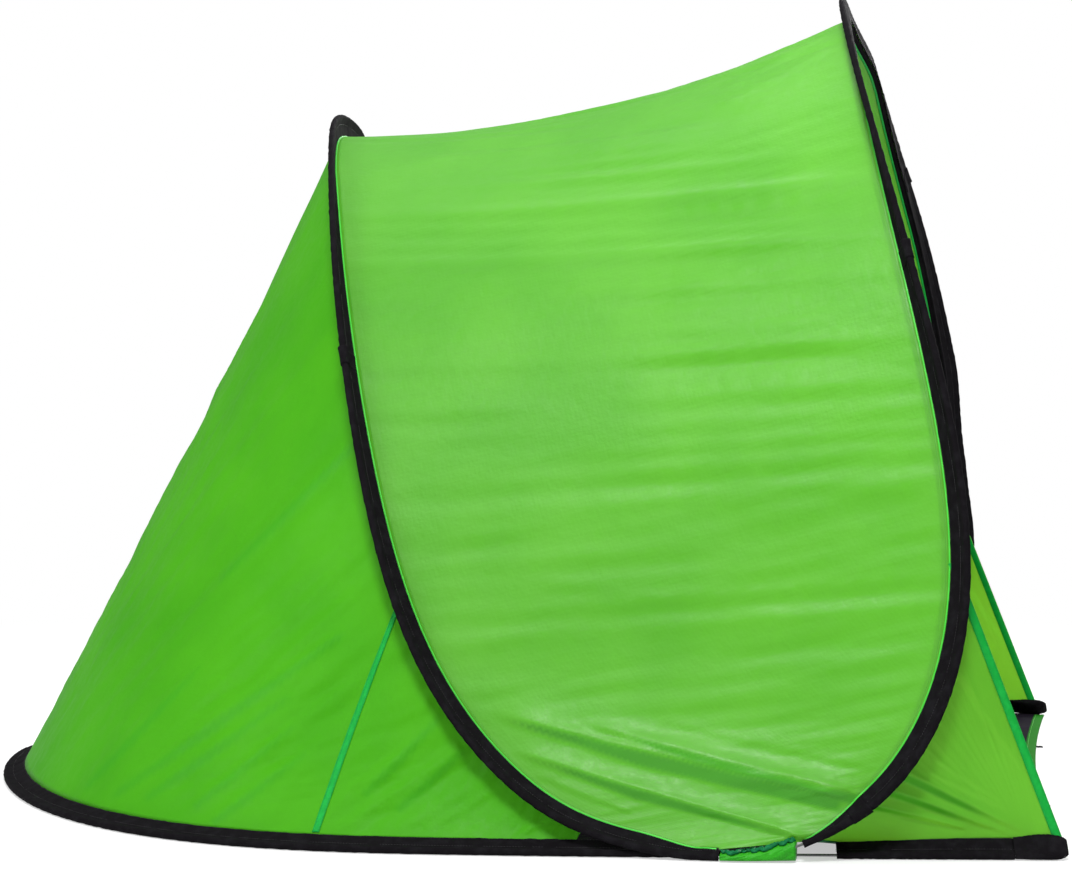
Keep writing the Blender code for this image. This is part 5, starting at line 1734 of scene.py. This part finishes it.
@dataclass
class Floor:
    """The groundsheet and its front hem with two tabs."""

    lines: TentLines
    palette: Palette
    machine: SewingMachine
    sheet_grid: tuple[int, int] = (241, 141)
    hem_width: float = 0.016
    hem_thickness: float = 0.0024
    hem_short: float = 0.024
    tab_y: float = 0.306
    tab_size: tuple[float, float] = (0.012, 0.014)
    raised: float = 0.017
    raised_reach: float = 0.14
    bend_reach: float = 0.03

    def laid_sheet(self) -> np.ndarray:
        """Return the groundsheet's grid, clear of the sheaths, with its edges raised at the bare wires."""
        lines = self.lines
        half = lines.floor.half()
        order = np.argsort(half[:, 0])
        xs, ys = half[order, 0], np.abs(half[order, 1]) - 0.0045
        rear_x = lines.floor.rear_x + 0.006
        rows, columns = self.sheet_grid
        across = np.linspace(-1.0, 1.0, columns)
        front = lines.floor.front_edge(lines.floor.corner_half_width * across) - 0.5 * self.hem_width
        x = rear_x + (front - rear_x) * np.linspace(0.0, 1.0, rows)[:, None]
        width = np.interp(x, xs, ys)
        beside = ease((x - lines.sheath_x + 0.03) / 0.03) * ease((lines.fold_x + 0.085 - x) / 0.03)
        y = (width - 0.0075 * beside) * across
        bare = ease((x - lines.fold_x + 0.03) / 0.03) * ease((lines.fold_x + 0.085 - x) / 0.04)
        inset = np.clip(1.0 - (1.0 - np.abs(across)) * width / self.raised_reach, 0.0, 1.0)
        return np.stack([x, y, 0.0012 + self.raised * bare * inset], axis=2)

    def build(self) -> None:
        """Make the groundsheet, the hem and its tabs."""
        grid = self.laid_sheet()
        lift = crinkle(grid * np.array([1.0, 0.6, 1.0]), 0.11, 5)
        inside = 1.0 - np.linspace(-1.0, 1.0, grid.shape[1]) ** 8
        grid[:, :, 2] += 0.003 * np.maximum(0.0, lift) * inside
        piece = cloth_sheet("groundsheet_cloth", grid)
        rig.replaces(piece, "groundsheet_rear", "groundsheet_front")
        piece.data.materials.append(self.palette.groundsheet)
        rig.slot(piece, "dark_groundsheet")
        declare_cloth(piece, grid, "laid", ["floor_sleeve_rear_cloth"])
        bend(piece, self.lines.fold_x - self.bend_reach, self.lines.fold_x + self.bend_reach)
        self.build_hem()
        self.build_tabs()

    def build_hem(self) -> None:
        """Make the folded hem along the open front edge, with its row of stitches."""
        floor = self.lines.floor
        y = np.linspace(-1.0, 1.0, 121) * (floor.corner_half_width - self.hem_short)
        lift = 0.0003 + 0.0006 * (1.0 + wander(y, 0.09, 51))
        middle = np.stack([floor.front_edge(y) - 0.5 * self.hem_width, y, lift], axis=1)
        half, full = 0.5 * self.hem_width, self.hem_thickness
        outline = [
            (-half, 0.0), (-half, 0.5 * full), (-0.8 * half, 0.8 * full), (0.0, 0.7 * full),
            (0.75 * half, full), (half, 0.8 * full), (half, 0.1 * full), (0.8 * half, 0.0),
        ]
        rings = np.stack([middle + np.array([a, 0.0, b]) for a, b in outline], axis=1)
        hem = loft("front_hem_cloth", rings)
        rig.replaces(hem, "front_hem")
        dress(hem, self.palette.hem_cloth, "lime_canopy", FRONT_BODY)
        row = middle + np.array([-0.3 * self.hem_width, 0.0, 0.95 * full])
        rows = [(row, np.broadcast_to(UP, row.shape))]
        self.machine.stitch("front_hem_stitches", rows, self.palette.green_thread, "lime_canopy", FRONT_BODY)

    def build_tabs(self) -> None:
        """Make the woven tab that stands out from the hem on each side."""
        length, width = self.tab_size
        along = np.linspace(0.0, length - 0.001, 6)
        middle, half_thick = 0.0009 + 0.0003 * np.sin(12.0 * along / length), 0.00035
        x = np.concatenate([along, [length - 0.0009], along[::-1]])
        z = np.concatenate([middle + half_thick, [0.0009], middle[::-1] - half_thick])
        share = np.linspace(-1.0, 1.0, 9)[:, None]
        rings = np.stack(
            np.broadcast_arrays(x * (1.0 - 0.12 * share**6), 0.5 * width * share, z), axis=2
        )
        x = float(self.lines.floor.front_edge(np.array([self.tab_y]))[0]) - 0.001
        for side in Side:
            tab = loft(f"hem_tab_{side.label}_woven", rings + np.array([x, side.value * self.tab_y, 0.0]))
            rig.replaces(tab, f"hem_tab_{side.label}")
            dress(tab, self.palette.sleeve, "black_sleeve", FRONT_BODY)


@dataclass
class Crossings:
    """Where the loop's foot crosses the floor wire on each side: the sheath that binds them, and its hem."""

    lines: TentLines
    palette: Palette
    side_margin: float = 0.0085
    count: int = 61
    around: int = 48
    ground_gap: float = 0.0004

    def outlines(self) -> np.ndarray:
        """Return the near sheath's outlines, gathered round both wires and a little wrinkled."""
        lines = self.lines
        foot = lines.front_hoop.half()
        foot = foot[: int(np.argmax(foot[:, 0] > lines.fold_x + 0.01))]
        foot = foot[np.argsort(foot[:, 0])]
        floor = lines.floor.half()[::-1]
        x = np.linspace(lines.sheath_x + 0.0006, lines.fold_x - 0.0006, self.count)
        outer_y, top_z = [np.interp(x, foot[:, 0], foot[:, axis])[:, None] for axis in (1, 2)]
        inner_y = np.interp(x, floor[:, 0], floor[:, 1])[:, None]
        low, high = outer_y - self.side_margin, inner_y + self.side_margin
        top = top_z + 0.0040 + 0.004 * ease(np.linspace(0.0, 1.0, self.count))[:, None]
        turns = np.linspace(0.0, 2.0 * math.pi, self.around, endpoint=False)
        x = np.broadcast_to(x[:, None], (self.count, self.around))
        slope = 0.024 * turns + x
        wrinkle = 0.5 * (wander(slope * 1.2, 0.021, 61) + wander(slope * 0.8 + turns * 0.006, 0.011, 62))
        swell = 0.93 * (1.0 + 0.11 * wrinkle * (np.sin(turns) > -0.5))
        y = 0.5 * (low + high) + 0.5 * (high - low) * squared(np.cos(turns), 0.55) * swell
        z = 0.5 * top + 0.5 * top * squared(np.sin(turns), 0.75) * swell
        return np.stack([x, y, np.maximum(z, self.ground_gap)], axis=2)

    def build(self) -> None:
        """Make the sheath and the hem over it on both sides."""
        rings = self.outlines()
        hem = self.hem_outlines(rings)
        for side in Side:
            name = f"side_sheath_{side.label}"
            piece = loft(f"{name}_cloth", rings * side.flip)
            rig.replaces(piece, name)
            dress(piece, self.palette.sheath, "lime_canopy", REAR_BODY)
            piece = loft(f"canopy_hem_{side.label}", hem * side.flip)
            dress(piece, self.palette.hem, "emerald_tape", REAR_BODY)

    @staticmethod
    def hem_outlines(rings: np.ndarray) -> np.ndarray:
        """Return the outlines of the dark hem that ends the canopy, along the crest of the near sheath."""
        crest = rings[np.arange(len(rings)), rings[:, :, 2].argmax(axis=1)][1:-1]
        line = resample(crest - np.array([0.0, 0.006, 0.0]), 80)
        reach = reach_along(line)
        line[:, 2] += 0.0022 + 0.0006 * wander(reach, 0.018, 63)
        line[:, 1] += 0.0008 * wander(reach, 0.026, 64)
        up = np.broadcast_to(unit(np.array([0.0, -0.75, 0.66])), line.shape)
        across = unit(np.cross(tangents(line), up))
        width = 0.0030 + 0.0008 * wander(reach, 0.03, 65)
        outline = [
            (-1.0, -0.0008), (-0.9, 0.0008), (0.0, 0.0013), (0.9, 0.0008), (1.0, -0.0008), (0.0, -0.0016),
        ]
        return np.stack([line + across * (a * width)[:, None] + up * b for a, b in outline], axis=1)


@dataclass
class CornerPockets:
    """The padded pocket over each end of the floor wire."""

    lines: TentLines
    palette: Palette
    thickness: float = 0.0135
    extra_width: float = 0.003
    tip_length: float = 0.0052
    wire_side: float = 0.0045
    ground_gap: float = 0.0006

    def outlines(self) -> np.ndarray:
        """Return the near pocket's outlines, crowned between its seams and rounded at the tip."""
        lines = self.lines
        strip = lines.arm_strip(reach_along(lines.arm())[-1] - lines.pocket_length + 0.0004, 0.0, 61)
        wide = lines.sleeve_width + self.extra_width
        travel, reach = tangents(strip.wire), reach_along(strip.wire)
        full = reach[-1] + self.tip_length
        turns = np.linspace(0.0, 2.0 * math.pi, 40, endpoint=False)
        flat_x = 0.5 * (wide + self.wire_side) * squared(np.cos(turns), 0.7)
        flat_y = 0.5 * self.thickness * squared(np.sin(turns), 0.8)
        tip = 1.0 - 0.14 * np.cos(np.linspace(0.0, 1.45, 12))
        rings = []
        for share in np.concatenate([np.linspace(0.0, 0.86, 34), tip]):
            at = share * full
            k = min(int(np.searchsorted(reach, at)), len(reach) - 1)
            along, across = strip.along[k], strip.across[k]
            middle = strip.wire[k] + travel[k] * (at - reach[k]) + along * (0.5 * (wide - self.wire_side))
            close = math.sqrt(max(0.02, 1.0 - (max(0.0, share - 0.66) / 0.345) ** 2.2))
            mouth = 0.35 + 0.65 * float(ease(share / 0.55))
            crown = 0.88 + 0.12 * math.sin(math.pi * min(1.0, share * 1.1))
            pucker = 1.0 + 0.05 * np.sin(9.0 * turns + 30.0 * share) + 0.05 * math.sin(70.0 * share)
            inward, up = flat_x * (0.38 + 0.62 * close), flat_y * close * mouth * crown * pucker
            rings.append(middle + inward[:, None] * along + up[:, None] * across)
        rings = np.array(rings)
        rings[:, :, 2] = np.maximum(rings[:, :, 2], self.ground_gap)
        return rings

    def build(self) -> None:
        """Make both pockets."""
        rings = self.outlines()
        for side in Side:
            name = f"corner_pocket_{side.label}"
            piece = loft(f"{name}_padded", rings * side.flip)
            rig.replaces(piece, name)
            dress(piece, self.palette.sleeve, "black_sleeve", FRONT_BODY)
            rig.padded(piece, 0.5)


@dataclass(frozen=True)
class Softbox:
    """A square lamp that hangs at one place and points at another, with its size and its power in watts."""

    name: str
    at: tuple[float, float, float]
    aim: tuple[float, float, float]
    size: float
    power: float

    def hang(self) -> None:
        """Hang the lamp and point it."""
        light = bpy.data.lights.new(self.name, "AREA")
        light.size = self.size
        light.energy = self.power
        lamp = bpy.data.objects.new(self.name, light)
        lamp.location = self.at
        lamp.rotation_euler = (Vector(self.aim) - Vector(self.at)).to_track_quat("-Z", "Y").to_euler()
        bpy.context.scene.collection.objects.link(lamp)


@dataclass
class Studio:
    """White studio: floor, world, soft lamps, and the camera of the photograph."""

    focal_px: float = 2942.0
    frame_px: tuple[int, int] = (1072, 872)
    horizon_px: float = 364.0
    yaw_deg: float = 8.85
    camera_at: tuple[float, float, float] = (0.682, -4.270, 0.589)
    floor_half: float = 30.0
    floor_drop: float = 0.0005
    lamps: tuple[Softbox, ...] = (
        Softbox("key_softbox", (0.4, -3.0, 4.6), (0.0, 0.0, 0.5), 1.3, 215.0),
        Softbox("fill_softbox", (-3.6, -3.0, 2.2), (0.0, 0.0, 0.4), 2.0, 72.0),
        Softbox("top_softbox", (0.3, 0.8, 4.2), (0.0, 0.0, 0.3), 2.6, 85.0),
        Softbox("back_softbox", (1.8, 4.0, 2.6), (0.0, 0.0, 0.5), 2.6, 190.0),
    )

    def build(self) -> None:
        """Make the floor, the light and the camera."""
        bpy.context.scene.view_settings.view_transform = "Standard"
        self.build_floor()
        self.build_world()
        for lamp in self.lamps:
            lamp.hang()
        self.build_camera()

    def build_floor(self) -> None:
        """Make a wide white floor that keeps the tent's shadow."""
        half = self.floor_half
        plan = ((-half, -half), (half, -half), (half, half), (-half, half))
        corners = np.array([[x, y, -self.floor_drop] for x, y in plan])
        floor = mesh_object("studio_floor", corners, [(0, 1, 2, 3)])
        material, tree, solid = new_material("matt_white_floor")
        path = add_node(tree, "ShaderNodeLightPath")
        away = add_node(tree, "ShaderNodeVectorMath", {0: solid}, operation="LENGTH")
        fade = add_node(tree, "ShaderNodeMapRange", {
            "Value": away.outputs["Value"], "From Min": 1.2, "From Max": 2.6, "To Min": 0.5, "To Max": 1.0,
        })
        matt = add_node(tree, "ShaderNodeBsdfDiffuse", {"Color": (0.9, 0.9, 0.9, 1.0)})
        white = add_node(tree, "ShaderNodeEmission", {"Color": WHITE, "Strength": 1.0})
        seen = add_node(tree, "ShaderNodeMath", {
            0: path.outputs["Is Camera Ray"], 1: path.outputs["Is Glossy Ray"],
        }, operation="MAXIMUM")
        share = add_node(tree, "ShaderNodeMath", {
            0: seen.outputs[0], 1: fade.outputs["Result"],
        }, operation="MULTIPLY")
        both = add_node(tree, "ShaderNodeMixShader", {
            0: share.outputs[0], 1: matt.outputs["BSDF"], 2: white.outputs["Emission"],
        })
        add_node(tree, "ShaderNodeOutputMaterial", {"Surface": both.outputs["Shader"]})
        floor.data.materials.append(material)
        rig.stage(floor)

    @staticmethod
    def build_world() -> None:
        """Make a white surround that lights softly and shows white to the camera."""
        world = bpy.data.worlds.new("white_surround")
        world.use_nodes = True
        tree = world.node_tree
        tree.nodes.clear()
        path = add_node(tree, "ShaderNodeLightPath")
        level = add_node(tree, "ShaderNodeMapRange", {
            "Value": path.outputs["Is Camera Ray"], "To Min": 0.35, "To Max": 1.0,
        })
        sky = add_node(tree, "ShaderNodeBackground", {"Color": WHITE, "Strength": level.outputs["Result"]})
        add_node(tree, "ShaderNodeOutputWorld", {"Surface": sky.outputs["Background"]})
        bpy.context.scene.world = world

    def build_camera(self) -> None:
        """Set the camera where the photograph was taken from."""
        data = bpy.data.cameras.new("photo_camera")
        data.sensor_width = 36.0
        data.lens = data.sensor_width * self.focal_px / self.frame_px[0]
        tilt = math.atan((0.5 * self.frame_px[1] - self.horizon_px) / self.focal_px)
        camera = bpy.data.objects.new("photo_camera", data)
        camera.location = self.camera_at
        camera.rotation_euler = (0.5 * math.pi - tilt, 0.0, math.radians(self.yaw_deg))
        bpy.context.scene.collection.objects.link(camera)
        bpy.context.scene.camera = camera


def dress_kept_nodes(palette: Palette) -> None:
    """Give the CAD nodes that stay their finished materials."""
    finishes = {
        "loop_ferrule": palette.crimp, "wire_cap_near": palette.plastic, "wire_cap_far": palette.plastic,
    }
    for name, material in finishes.items():
        for slot in frame["nodes"][name].material_slots:
            slot.material = material


def write_sizes() -> None:
    """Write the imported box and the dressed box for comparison."""
    low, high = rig.bounds()
    boxes = {"packed": [list(packed_low), list(packed_high)], "dressed": [list(low), list(high)]}
    with open(SIZE_FILE, "w", encoding="utf-8") as out:
        json.dump(boxes, out)


def main() -> None:
    """Dress the tent and light it."""
    lines, palette, machine = TentLines(), Palette(), SewingMachine()
    sleeves = Sleeves(lines, palette, machine)
    sleeves.build()
    Wires(lines, palette, machine).build()
    Panels(lines, palette, machine, sleeves.strips).build()
    Floor(lines, palette, machine).build()
    Crossings(lines, palette).build()
    CornerPockets(lines, palette).build()
    dress_kept_nodes(palette)
    Studio().build()
    write_sizes()


if __name__ == "__main__":
    main()
